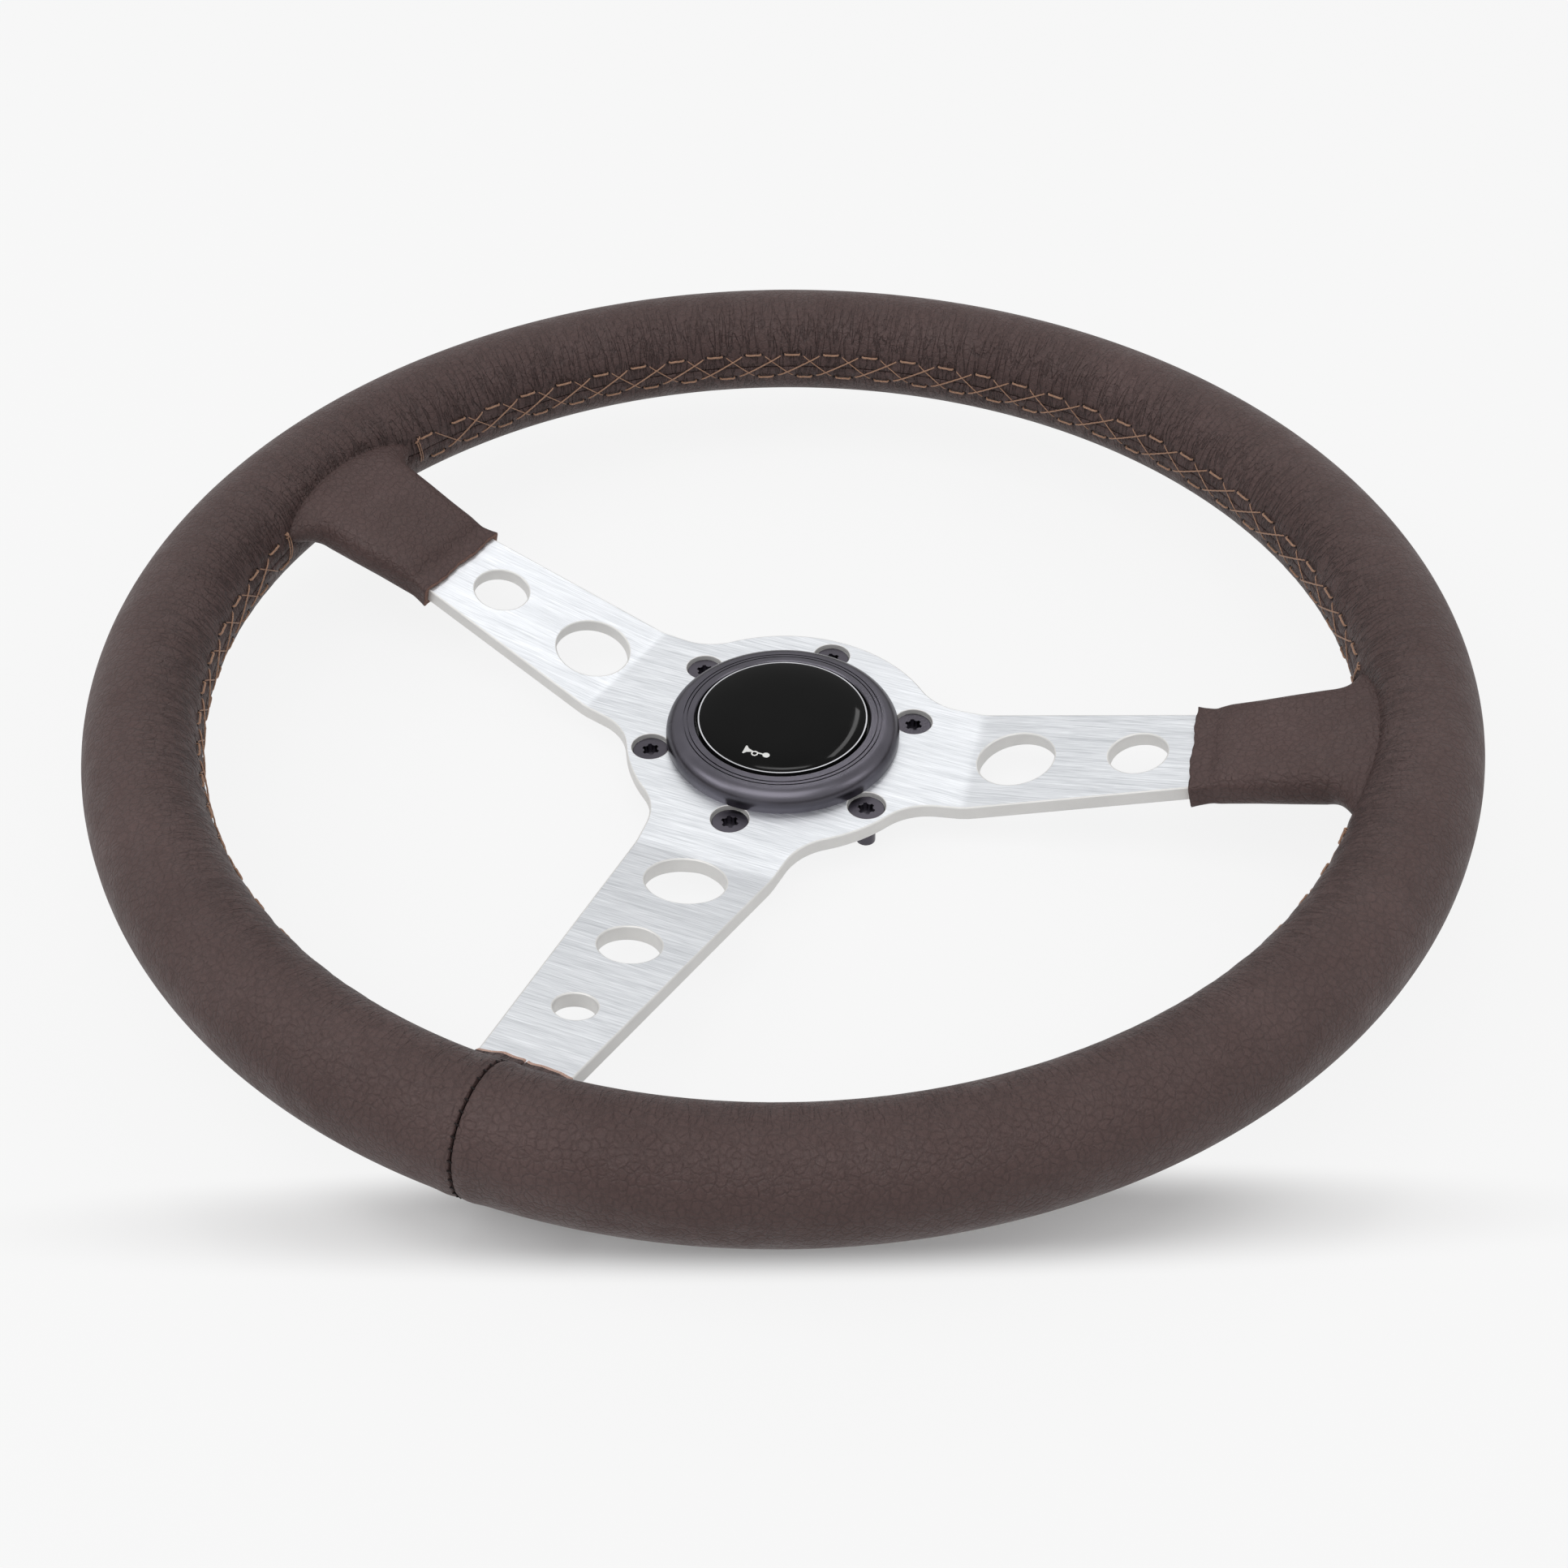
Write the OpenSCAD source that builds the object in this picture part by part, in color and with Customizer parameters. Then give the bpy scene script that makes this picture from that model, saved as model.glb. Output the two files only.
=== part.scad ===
// Classic three-spoke car steering wheel with a leather-wrapped rim and a
// horn push. Millimetres. The origin is the centre of the hub plate's back
// face, +Z points to the driver and -Y to the six o'clock spoke.

/* [Rim] */
// Outer diameter of the rim over its leather
rim_d = 350; // [330:1:380]
// Width of the grip's section, measured across the rim
grip_w = 28.4; // [26:0.2:32]
// Straight height between the round halves of the grip's section
grip_flat = 1.6; // [0.4:0.2:4]
// Thickness of the leather
leather_t = 1.2; // [0.8:0.1:1.6]
// Diameter of the aluminium hoop inside the rim
hoop_d = 10; // [7:0.5:12]
// Height of the open slit between the laced edges of the leather
lace_gap = 0.8; // [0.4:0.1:1.4]
// Depth of the laced slit below the middle of the rim
lace_drop = 1.2; // [0:0.2:3]
// Width of the butt seam at six o'clock
seam_gap = 0.3; // [0.2:0.05:0.6]

/* [Spoke plate] */
// Height of the middle of the rim above the plate's back face
dish = 26.2; // [22:0.2:32]
// Thickness of the plate
plate_t = 4; // [3.5:0.25:5]
// Width of the hub's edge outside the screw circle
hub_edge_w = 6.5; // [6:0.5:10]
// Radius of the fillets between the hub and the spokes
hub_fillet_r = 16; // [10:1:20]
// Distance of each spoke's bend from the axis
bend_d = 51; // [50:0.5:54]
// Radius of the bend on the driver's side
bend_r = 12; // [6:1:20]
// Width of a spoke at its bend
spoke_w_bend = 37.2; // [34:0.2:39]
// Width of a spoke where it meets the hoop
spoke_w_rim = 19.6; // [17:0.2:24]
// Height of a spoke's middle above the middle of the rim, at the hoop
spoke_rise = 3.2; // [0:0.2:5]
// Angle of the two side spokes above the horizontal
side_spoke_a = 10; // [0:1:20]

/* [Lightening holes] */
// Diameter of the hole nearest the hub on each spoke
hole_large_d = 20; // [14:0.5:22]
// Diameter of the middle hole
hole_mid_d = 15; // [10:0.5:17]
// Diameter of the small hole, on the lower spoke only
hole_small_d = 10; // [6:0.5:12]
// Distance of the large hole from the axis, along the spoke
hole_large_at = 62; // [60:0.5:66]
// Distance of the middle hole from the axis, along the spoke
hole_mid_at = 93.6; // [88:0.5:95]
// Distance of the small hole from the axis, along the spoke
hole_small_at = 121.4; // [114:0.5:126]

/* [Spoke sleeves] */
// Length of a sleeve from its cut edge to the inside of the rim
sleeve_l = 40.7; // [38:0.1:41.2]
// Length of the thin collar along the spoke
collar_l = 6; // [4:0.5:8]
// Length of the step from the collar up to the pad
step_l = 3; // [2:0.5:5]
// Height of the pad over the spoke's face beside the step
pad_h_step = 3.2; // [2.6:0.2:4.4]
// Height of the pad over the spoke's face at the rim
pad_h_rim = 5.4; // [4.6:0.2:6.5]
// Depth of the pad behind the spoke's back
pad_back = 2.6; // [2.2:0.2:3.6]
// Width of the pad beside the step
pad_w_step = 32; // [31:0.5:36]
// Width of the pad inside the rim
pad_w_rim = 39; // [36:0.5:44]
// Radius of the pad's long edges
pad_edge_r = 3; // [1.8:0.2:3.2]

/* [Mounting screws] */
// Number of screws that hold the wheel to its hub adapter
screw_count = 6; // [6:1:6]
// Diameter of the screw circle
screw_pcd = 70; // [69:0.5:74]
// Thread diameter
screw_d = 5; // [4.5:0.25:5.25]
// Length of a screw over all
screw_l = 12; // [12:1:20]
// Diameter of the countersunk head
screw_head_d = 9.3; // [8.4:0.1:9.5]
// Depth of the head's top below the face of the plate
screw_sink = 1.1; // [0.4:0.1:1.2]
// Diameter across the points of the six-lobe socket
socket_d = 4.5; // [3.6:0.1:5]
// Depth of the socket
socket_depth = 1.8; // [1:0.1:2.2]

/* [Horn ring] */
// Width of the ring's flange outside the hub's bore
ring_flange_w = 5.2; // [4.8:0.1:6]
// Height of the ring over the plate, beside the push
ring_h = 6; // [5.6:0.1:7]
// Radius of the rounded outer edge
ring_nose_r = 4; // [3:0.1:4.4]
// Height of the flange's straight edge
ring_edge_h = 1.6; // [0.8:0.1:2]
// Gap between the push and the ring's lip
ring_lip_gap = 0.8; // [0.6:0.1:1]
// Wall thickness of the spigot in the hub's bore
spigot_t = 1.5; // [1.3:0.1:2]
// Depth of the spigot behind the back of the plate
spigot_depth = 6; // [5:0.5:7]
// Distance of the outer of the two turned lines from the ring's opening
line_in = 3; // [2:0.1:3.4]
// Distance between the two turned lines
line_pitch = 1; // [0.6:0.1:1.4]
// Thickness of the retaining clip behind the plate
clip_t = 1.2; // [0.8:0.1:1.6]
// Radial width of the clip
clip_w = 3; // [2:0.2:3.4]
// Opening of the clip's gap, in degrees
clip_gap_a = 24; // [16:1:40]

/* [Horn push] */
// Radius of the push
push_r = 22.2; // [21.8:0.1:22.4]
// Travel of the push
push_travel = 1.8; // [1.2:0.1:2.2]
// Thickness of the push's face
push_face_t = 1.6; // [1.2:0.1:2]
// Thickness of the push's retaining flange
push_flange_t = 1.2; // [0.8:0.1:1.5]
// Width of the retaining flange outside the push
push_flange_w = 1.4; // [1.1:0.1:1.6]
// Height of the domed label at its centre
dome_h = 1.3; // [0.8:0.1:2]
// Height of the domed label at its edge
dome_edge_h = 0.6; // [0.4:0.05:0.7]
// Thickness of the contact plates
contact_t = 0.8; // [0.5:0.1:1]
// Radius of the moving contact plate
contact_r = 15.5; // [15:0.1:16.5]
// Thickness of the insulating cup's floor
cup_floor_t = 1.6; // [1.2:0.1:2.4]
// Wall thickness of the insulating cup
cup_wall_t = 1.8; // [1.2:0.1:2.2]
// Mean radius of the return spring
spring_r = 12.5; // [12:0.1:13]
// Diameter of the spring's wire
spring_wire_d = 1.2; // [0.8:0.1:1.4]
// Number of turns of the spring
spring_turns = 4.5; // [3.5:0.5:6]
// Length of the terminals from their rivets
terminal_l = 14; // [10:0.5:16]
// Width of the terminals
terminal_w = 6.3; // [4.8:0.1:6.5]

/* [Hidden] */

$fn = 96;
eps = 0.01;

// Clearances: round bonded pieces, moving pieces and pieces that seat
bond_gap = 0.12;
run_gap = 0.3;
seat_gap = 0.1;
// Length by which a cutting shape runs past what it cuts
over = 1;

// Rim section and hoop
grip_r = grip_w / 2;
rim_centre_r = rim_d / 2 - grip_r;
rim_z = dish;
hoop_z = rim_z + spoke_rise;

// Rings round the push, from the inside outwards
flange_r = push_r + push_flange_w;
ring_lip_r = push_r + ring_lip_gap;
ring_bore_r = flange_r + run_gap;
spigot_r = ring_bore_r + spigot_t;
hub_bore_r = spigot_r + seat_gap;
ring_r = hub_bore_r + ring_flange_w;
line_r = ring_lip_r + line_in;
hub_r = screw_pcd / 2 + hub_edge_w;

// Spokes: their angles, slope and the place of the bend
spoke_angles = [side_spoke_a, 180 - side_spoke_a, 270];
side_angles = [side_spoke_a, 180 - side_spoke_a];
sleeve_start = rim_centre_r - grip_r - sleeve_l;
spoke_tip_r = rim_centre_r - hoop_d / 2 - seat_gap;
slope_a = atan((hoop_z - plate_t / 2) / (rim_centre_r - bend_d));
bend_start = bend_d - bend_r * tan(slope_a / 2);
taper = (spoke_w_bend - spoke_w_rim) / 2 / (rim_centre_r - bend_d);
taper_a = atan(taper);
spoke_half_w0 = spoke_w_bend / 2 + taper * bend_d;
strip_w = 62;
core_lead = 20;
core_start = sleeve_start - core_lead;
core_end = rim_centre_r + over;
// The fillets' circles cut this far into the edges that they join
blend_bite = 0.02;
plate_tall = dish + 3 * plate_t;

// Sleeves
sleeve_skin = leather_t + bond_gap;
pad_end_d = rim_centre_r - 4;
collar_edge_r = 1.2;
edge_min_r = 0.6;

// Screws
screw_land = 0.7;
screw_top_z = plate_t - screw_sink;
screw_tip_chamfer = 1.3;
screw_head_break = 0.15;
screw_hole_gap = 0.2;
screw_hole_r = screw_d / 2 + screw_hole_gap;
screw_side_gap = 0.3;
screw_cone_z = screw_top_z - screw_land;

// Horn ring
ring_top_z = plate_t + ring_h;
ring_face_a = 85;
ring_lip_break = 0.3;
ring_root_h = 2.5;
line_w = 0.3;
line_depth = 0.8;
lip_under_h = 2;
lip_under_z = plate_t + lip_under_h;
clip_groove_d = 0.8;
clip_bite = 0.6;
clip_ear_r = 1.8;
clip_eye_r = 0.8;

// Horn push and its domed label
push_stand = 0.2;
push_top_z = ring_top_z + push_stand;
push_rim_t = 0.35;
push_rim_h = 1;
push_skirt_t = 2;
push_boss_r = 4.5;
label_recess = 0.5;
flange_top_z = lip_under_z - run_gap;
flange_low_z = flange_top_z - push_flange_t;

// Insulating cup with its snap bead, pedestal and contacts
cup_floor_z = -spigot_depth;
under_floor_z = cup_floor_z - cup_floor_t;
cup_r = ring_bore_r - seat_gap;
cup_in_r = cup_r - cup_wall_t;
cup_flange_r = hub_bore_r - 2 * seat_gap;
cup_wall_top_z = flange_low_z - push_travel - run_gap;
bead_out = 0.5;
bead_r = ring_bore_r + bead_out;
bead_up = 1.5;
bead_z = cup_floor_z + bead_up;
bead_h = 1;
pedestal_r = 8;
pedestal_bore_r = 3.6;
plate_z = 3.4;
neck_r = 1.5;
neck_up = 3.6;
neck_depth = 4.1;
fixed_contact_z = plate_z - push_travel - run_gap;
contact_inset = 0.3;

// Spring seat, rivets and terminals
seat_ring_t = 0.5;
seat_in_w = 3.2;
seat_in_r = spring_r - seat_in_w;
rivet_r = 1.25;
rivet_head_r = 2;
rivet_head_t = 0.4;
signal_r = (pedestal_r + pedestal_bore_r) / 2;
// The earth rivet sits midway between the spring and the wall of the cup
earth_r = (spring_r + spring_wire_d / 2 + cup_in_r) / 2;
seat_out_r = earth_r + rivet_head_r + seat_gap;
terminal_t = 0.8;
terminal_nose = 1.2;
terminal_eye_r = 0.9;
terminal_eye_back = 4;

// A point turned about the axis by an angle
function turned(p, a) = [p.x * cos(a) - p.y * sin(a), p.x * sin(a) + p.y * cos(a)];

// Half of a spoke's width at a distance from the axis
function half_w(d) = spoke_half_w0 - taper * d;

// Centre of the fillet between the hub and a spoke's edge, side +1 or -1
fillet_off = spoke_half_w0 * cos(taper_a) + hub_fillet_r;
fillet_along = sqrt(pow(hub_r + hub_fillet_r, 2) - pow(fillet_off, 2));
function fillet_centre(a, side) =
    turned(turned([fillet_along, side * fillet_off], -side * taper_a), a);

// Point where that fillet runs into the spoke's straight edge
function fillet_end(a, side) =
    turned(turned([fillet_along, side * (fillet_off - hub_fillet_r)], -side * taper_a), a);

// Corner of a spoke's tip
tip_d = rim_centre_r;
function tip_corner(a, side) = turned([tip_d, side * half_w(tip_d)], a);

// Outline of the hub and the spokes, seen from the driver's seat
module plate_outline() {
    difference() {
        union() {
            circle(r = hub_r);
            for (a = spoke_angles)
                polygon([
                    [0, 0], fillet_centre(a, -1), fillet_end(a, -1), tip_corner(a, -1),
                    tip_corner(a, 1), fillet_end(a, 1), fillet_centre(a, 1)
                ]);
        }
        for (a = spoke_angles)
            for (side = [-1, 1])
                translate(fillet_centre(a, side)) circle(r = hub_fillet_r + blend_bite);
    }
}

// Point of the bend at an angle from its start, at a radius from its centre
function bend_point(r, a) = [bend_start + r * sin(a), plate_t + bend_r - r * cos(a)];

// Side view of one face of a spoke: the bend in fine steps and the slope. Its
// first step is drawn on backwards, so that it crosses the flat at an angle
function slope_line(r) =
    let (
        steps = 6,
        points = [for (i = [0:steps]) bend_point(r, slope_a * i / steps)],
        lead = points[0] - steps * (points[1] - points[0]),
        tail = points[steps] + rim_centre_r * [cos(slope_a), sin(slope_a)]
    )
    concat([lead], [for (i = [1:steps]) points[i]], [tail]);

// All that lies below one face of a sloping spoke
module below_slope(a, r) {
    line = slope_line(r);
    low = -2 * plate_t;
    rotate([0, 0, a])
        rotate([90, 0, 0])
            linear_extrude(strip_w, center = true)
                polygon(concat(line, [[line[len(line) - 1].x, low], [line[0].x, low]]));
}

// Moves its children to a spoke's sloping face: x along the spoke from its
// bend, z away from the face
module on_spoke(a) {
    rotate([0, 0, a])
        translate([bend_d, 0, plate_t])
            rotate([0, -slope_a, 0])
                children();
}

// Distance along the sloping face to a distance from the axis
function along(d) = (d - bend_d) / cos(slope_a);

// A sloping bar with the spoke's section and an even clearance round it
module spoke_core(a, gap) {
    x0 = along(core_start);
    x1 = along(core_end);
    w0 = half_w(core_start) + gap;
    w1 = half_w(core_end) + gap;
    on_spoke(a)
        translate([0, 0, -plate_t - gap])
            linear_extrude(plate_t + 2 * gap)
                polygon([[x0, -w0], [x1, -w1], [x1, w1], [x0, w0]]);
}

module lightening_hole(a, d, at) {
    on_spoke(a)
        translate([at - bend_d, 0, -plate_t / 2])
            cylinder(d = d, h = 4 * plate_t, center = true);
}

module screw_seat() {
    side_r = screw_head_d / 2 + screw_side_gap;
    cone_h = side_r - screw_hole_r;
    seat_z = screw_cone_z + screw_side_gap - 2 * seat_gap;
    translate([0, 0, -over]) cylinder(r = screw_hole_r, h = plate_t + 2 * over);
    translate([0, 0, seat_z]) cylinder(r = side_r, h = plate_t);
    translate([0, 0, seat_z - cone_h]) cylinder(r1 = screw_hole_r, r2 = side_r, h = cone_h + eps);
}

module screw_places() {
    for (i = [0 : screw_count - 1])
        rotate(30 + i * 360 / screw_count) translate([screw_pcd / 2, 0, 0]) children();
}

module spoke_plate() {
    color([0.80, 0.81, 0.83])
        difference() {
            intersection() {
                linear_extrude(plate_tall) plate_outline();
                translate([0, 0, -over]) cylinder(r = spoke_tip_r, h = plate_tall + 2 * over);
            }
            difference() {
                translate([0, 0, plate_t]) cylinder(r = rim_d / 2, h = plate_tall);
                for (a = spoke_angles) below_slope(a, bend_r);
            }
            for (a = spoke_angles) below_slope(a, bend_r + plate_t);
            translate([0, 0, -over]) cylinder(r = hub_bore_r, h = plate_t + 2 * over);
            screw_places() screw_seat();
            for (a = spoke_angles) {
                lightening_hole(a, hole_large_d, hole_large_at);
                lightening_hole(a, hole_mid_d, hole_mid_at);
            }
            lightening_hole(270, hole_small_d, hole_small_at);
        }
}

module rim_hoop() {
    color([0.62, 0.62, 0.64])
        translate([0, 0, hoop_z])
            rotate_extrude($fn = 180)
                translate([rim_centre_r, 0]) circle(d = hoop_d, $fn = 48);
}

// The grip's section, drawn in by an inset
module grip_section(inset) {
    r = grip_r - inset;
    translate([rim_centre_r, rim_z]) {
        for (side = [-1, 1])
            translate([0, side * grip_flat / 2]) circle(r = r, $fn = 72);
        square([2 * r, grip_flat], center = true);
    }
}

module grip_ring(inset) {
    rotate_extrude($fn = 180) grip_section(inset);
}

// One rounded section of a sleeve: distance from the axis, half its width,
// its height over the face, its depth behind the back and an inset
module sleeve_section(d, w, top, back, inset) {
    r = max(pad_edge_r - inset, edge_min_r);
    for (y = [-1, 1])
        for (z = [top - inset - r, -plate_t - back + inset + r])
            translate([along(d), y * (w - inset - r), z])
                rotate([0, 90, 0]) cylinder(r = r, h = 0.1, $fn = 24);
}

// The pad over a side spoke, from the end of the collar into the rim
module pad_body(a, inset) {
    d0 = sleeve_start + collar_l;
    d1 = d0 + step_l;
    w0 = half_w(d0) + sleeve_skin;
    on_spoke(a)
        hull() {
            translate([inset, 0, 0]) sleeve_section(d0, w0, sleeve_skin, sleeve_skin, inset);
            translate([inset, 0, 0]) sleeve_section(d1, pad_w_step / 2, pad_h_step, pad_back, inset);
            sleeve_section(pad_end_d, pad_w_rim / 2, pad_h_rim, pad_back, inset);
        }
}

// The thin collar round the bare spoke
module collar_body(a) {
    d0 = sleeve_start;
    d1 = sleeve_start + collar_l + over;
    edge = pad_edge_r - collar_edge_r;
    out = sleeve_skin + edge;
    on_spoke(a)
        hull()
            for (d = [d0, d1]) sleeve_section(d, half_w(d) + out, out, out, edge);
}

module rim_foam() {
    color([0.22, 0.22, 0.23])
        difference() {
            union() {
                grip_ring(sleeve_skin);
                for (a = side_angles) pad_body(a, sleeve_skin);
            }
            translate([0, 0, hoop_z])
                rotate_extrude($fn = 180)
                    translate([rim_centre_r, 0]) circle(d = hoop_d + 2 * bond_gap, $fn = 48);
            for (a = spoke_angles) spoke_core(a, bond_gap);
        }
}

module rim_leather() {
    color([0.27, 0.22, 0.21])
        difference() {
            rotate_extrude($fn = 180)
                difference() {
                    grip_section(0);
                    grip_section(leather_t);
                    translate([rim_centre_r - grip_r - over, rim_z - lace_drop - lace_gap / 2])
                        square([leather_t + 2 * over, lace_gap]);
                }
            spoke_core(270, 2 * bond_gap);
            for (a = side_angles) pad_body(a, leather_t);
            translate([-seam_gap / 2, -rim_d, 0]) cube([seam_gap, rim_d, 3 * dish]);
        }
}

module sleeve(a) {
    color([0.27, 0.22, 0.21])
        difference() {
            union() {
                pad_body(a, 0);
                collar_body(a);
            }
            pad_body(a, leather_t);
            spoke_core(a, bond_gap);
            grip_ring(-bond_gap);
        }
}

module mount_screw(i) {
    head_r = screw_head_d / 2;
    cone_h = head_r - screw_d / 2;
    tip_z = screw_top_z - screw_l;
    tip_r = screw_d / 2 - screw_tip_chamfer;
    color([0.16, 0.16, 0.17])
        rotate(30 + i * 360 / screw_count)
            translate([screw_pcd / 2, 0, 0])
                difference() {
                    rotate_extrude()
                        polygon([
                            [0, tip_z], [tip_r, tip_z], [screw_d / 2, tip_z + screw_tip_chamfer],
                            [screw_d / 2, screw_cone_z - cone_h], [head_r, screw_cone_z],
                            [head_r, screw_top_z - screw_head_break],
                            [head_r - screw_head_break, screw_top_z], [0, screw_top_z]
                        ]);
                    translate([0, 0, screw_top_z - socket_depth])
                        linear_extrude(socket_depth + over) six_lobe();
                }
}

module six_lobe() {
    valley_r = socket_d / 6;
    difference() {
        circle(d = socket_d);
        for (k = [0 : 5])
            rotate(k * 60) translate([socket_d / 2 + valley_r / 4, 0]) circle(r = valley_r, $fn = 32);
    }
}

// Turned section of the ring: nose, gently rising face, lip and spigot
module ring_section() {
    nose_x = ring_r - ring_nose_r;
    nose_z = plate_t + ring_edge_h;
    face_x = nose_x + ring_nose_r * cos(ring_face_a);
    face_z = nose_z + ring_nose_r * sin(ring_face_a);
    groove_z = -seat_gap - clip_t;
    difference() {
        union() {
            intersection() {
                translate([nose_x, nose_z]) circle(r = ring_nose_r);
                translate([nose_x, nose_z]) square(ring_nose_r + over);
            }
            translate([nose_x, plate_t]) square([ring_nose_r, ring_edge_h]);
            polygon([
                [ring_lip_r, lip_under_z], [face_x, lip_under_z], [face_x, face_z],
                [ring_lip_r + ring_lip_break, ring_top_z],
                [ring_lip_r, ring_top_z - ring_lip_break]
            ]);
            translate([ring_bore_r, plate_t]) square([nose_x - ring_bore_r + eps, ring_root_h]);
            translate([ring_bore_r, cup_floor_z])
                square([spigot_r - ring_bore_r, plate_t - cup_floor_z + eps]);
        }
        for (k = [0, 1])
            translate([line_r - k * line_pitch - line_w / 2, ring_top_z - line_depth])
                square([line_w, line_depth + over]);
        translate([spigot_r - clip_groove_d, groove_z - seat_gap])
            square([clip_groove_d + over, clip_t + 2 * seat_gap]);
        translate([ring_bore_r - over, bead_z - seat_gap])
            square([over + bead_out + seat_gap, bead_h + 2 * seat_gap]);
    }
}

module horn_ring() {
    color([0.20, 0.20, 0.22]) rotate_extrude($fn = 180) ring_section();
}

// Snap ring in the spigot's groove, behind the plate
clip_in_r = spigot_r - clip_bite;
clip_ear_a = asin(clip_ear_r / clip_in_r);
module ring_clip() {
    color([0.45, 0.45, 0.47])
        translate([0, 0, -seat_gap - clip_t])
            linear_extrude(clip_t)
                rotate(clip_gap_a / 2)
                    difference() {
                        union() {
                            clip_band();
                            clip_ears(clip_ear_r);
                        }
                        clip_ears(clip_eye_r);
                        circle(r = clip_in_r);
                    }
}

// Round places at the clip's two ends
module clip_ears(r) {
    for (a = [clip_ear_a, 360 - clip_gap_a - clip_ear_a])
        rotate(a) translate([clip_in_r + clip_w, 0]) circle(r = r, $fn = 32);
}

module clip_band() {
    far = 2 * hub_r;
    difference() {
        circle(r = clip_in_r + clip_w);
        circle(r = clip_in_r);
        polygon([[0, 0], [far, 0], turned([far, 0], -clip_gap_a / 2), turned([far, 0], -clip_gap_a)]);
    }
}

// Insulating cup that snaps into the ring from behind
module horn_cup() {
    pedestal_h = fixed_contact_z - contact_t - cup_floor_z;
    color([0.12, 0.12, 0.13])
        difference() {
            rotate_extrude() {
                translate([0, under_floor_z]) square([cup_r, cup_floor_t]);
                translate([0, under_floor_z]) square([cup_flange_r, cup_floor_t - seat_gap]);
                translate([cup_in_r, cup_floor_z - eps])
                    square([cup_wall_t, cup_wall_top_z - cup_floor_z + eps]);
                translate([cup_r - eps, bead_z]) square([bead_r - cup_r + eps, bead_h]);
                translate([pedestal_bore_r, cup_floor_z - eps])
                    square([pedestal_r - pedestal_bore_r, pedestal_h]);
            }
            for (x = [signal_r, -earth_r])
                translate([x, 0, under_floor_z - over]) rivet_hole(plate_t + 2 * spigot_depth);
        }
}

module rivet_hole(h) {
    cylinder(r = rivet_r + seat_gap, h = h, $fn = 32);
}

module horn_push() {
    rim_low_z = push_top_z - push_rim_h;
    face_low_z = push_top_z - push_face_t - label_recess;
    boss_low_z = plate_z + contact_t;
    color([0.10, 0.10, 0.10])
        difference() {
            rotate_extrude($fn = 120) {
                translate([0, face_low_z]) square([push_r, push_face_t]);
                translate([push_r - push_rim_t, rim_low_z]) square([push_rim_t, push_rim_h]);
                translate([push_r - push_skirt_t, flange_low_z])
                    square([push_skirt_t, rim_low_z - flange_low_z]);
                translate([push_r - push_skirt_t, flange_low_z])
                    square([flange_r - push_r + push_skirt_t, push_flange_t]);
                translate([0, boss_low_z]) square([push_boss_r, face_low_z - boss_low_z + eps]);
            }
            translate([0, 0, plate_z]) cylinder(r = neck_r + seat_gap, h = neck_depth, $fn = 32);
        }
}

// Clear domed label on the push, crowned in fine steps
module horn_dome() {
    r = push_r - push_rim_t - seat_gap;
    z0 = push_top_z - label_recess;
    crown = dome_h - dome_edge_h;
    steps = 16;
    crown_points = [
        for (i = [1:steps])
            let (x = r * (1 - i / steps)) [x, z0 + dome_h - crown * pow(x / r, 2)]
    ];
    color([0.05, 0.05, 0.05])
        rotate_extrude($fn = 120)
            polygon(concat([[0, z0], [r, z0], [r, z0 + dome_edge_h]], crown_points));
}

module contact_plate() {
    color([0.75, 0.62, 0.32])
        translate([0, 0, plate_z])
            difference() {
                cylinder(r = contact_r, h = contact_t - seat_gap);
                translate([0, 0, -over])
                    cylinder(r = neck_r + seat_gap, h = contact_t + 2 * over, $fn = 32);
            }
}

// Slotted screw that holds the moving contact plate to the push
module contact_screw() {
    head_h = 1.4;
    head_r = 2.8;
    head_break = 0.4;
    slot_w = 0.8;
    slot_depth = 0.7;
    head_top_z = plate_z - seat_gap;
    head_low_z = head_top_z - head_h;
    color([0.70, 0.70, 0.72])
        difference() {
            rotate_extrude($fn = 48)
                polygon([
                    [0, head_low_z], [head_r - head_break, head_low_z],
                    [head_r, head_low_z + head_break], [head_r, head_top_z],
                    [neck_r, head_top_z], [neck_r, plate_z + neck_up], [0, plate_z + neck_up]
                ]);
            translate([-head_r, -slot_w / 2, head_low_z - over])
                cube([2 * head_r, slot_w, slot_depth + over]);
        }
}

module contact_ring() {
    color([0.75, 0.62, 0.32])
        translate([0, 0, fixed_contact_z - contact_t])
            difference() {
                cylinder(r = pedestal_r - contact_inset, h = contact_t);
                translate([0, 0, -over])
                    cylinder(r = pedestal_bore_r + contact_inset, h = contact_t + 2 * over);
                translate([signal_r, 0, -over]) rivet_hole(contact_t + 2 * over);
            }
}

module spring_seat() {
    color([0.75, 0.62, 0.32])
        translate([0, 0, cup_floor_z + seat_gap])
            difference() {
                cylinder(r = seat_out_r, h = seat_ring_t);
                translate([0, 0, -over]) cylinder(r = seat_in_r, h = seat_ring_t + 2 * over);
                translate([-earth_r, 0, -over]) rivet_hole(seat_ring_t + 2 * over);
            }
}

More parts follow.
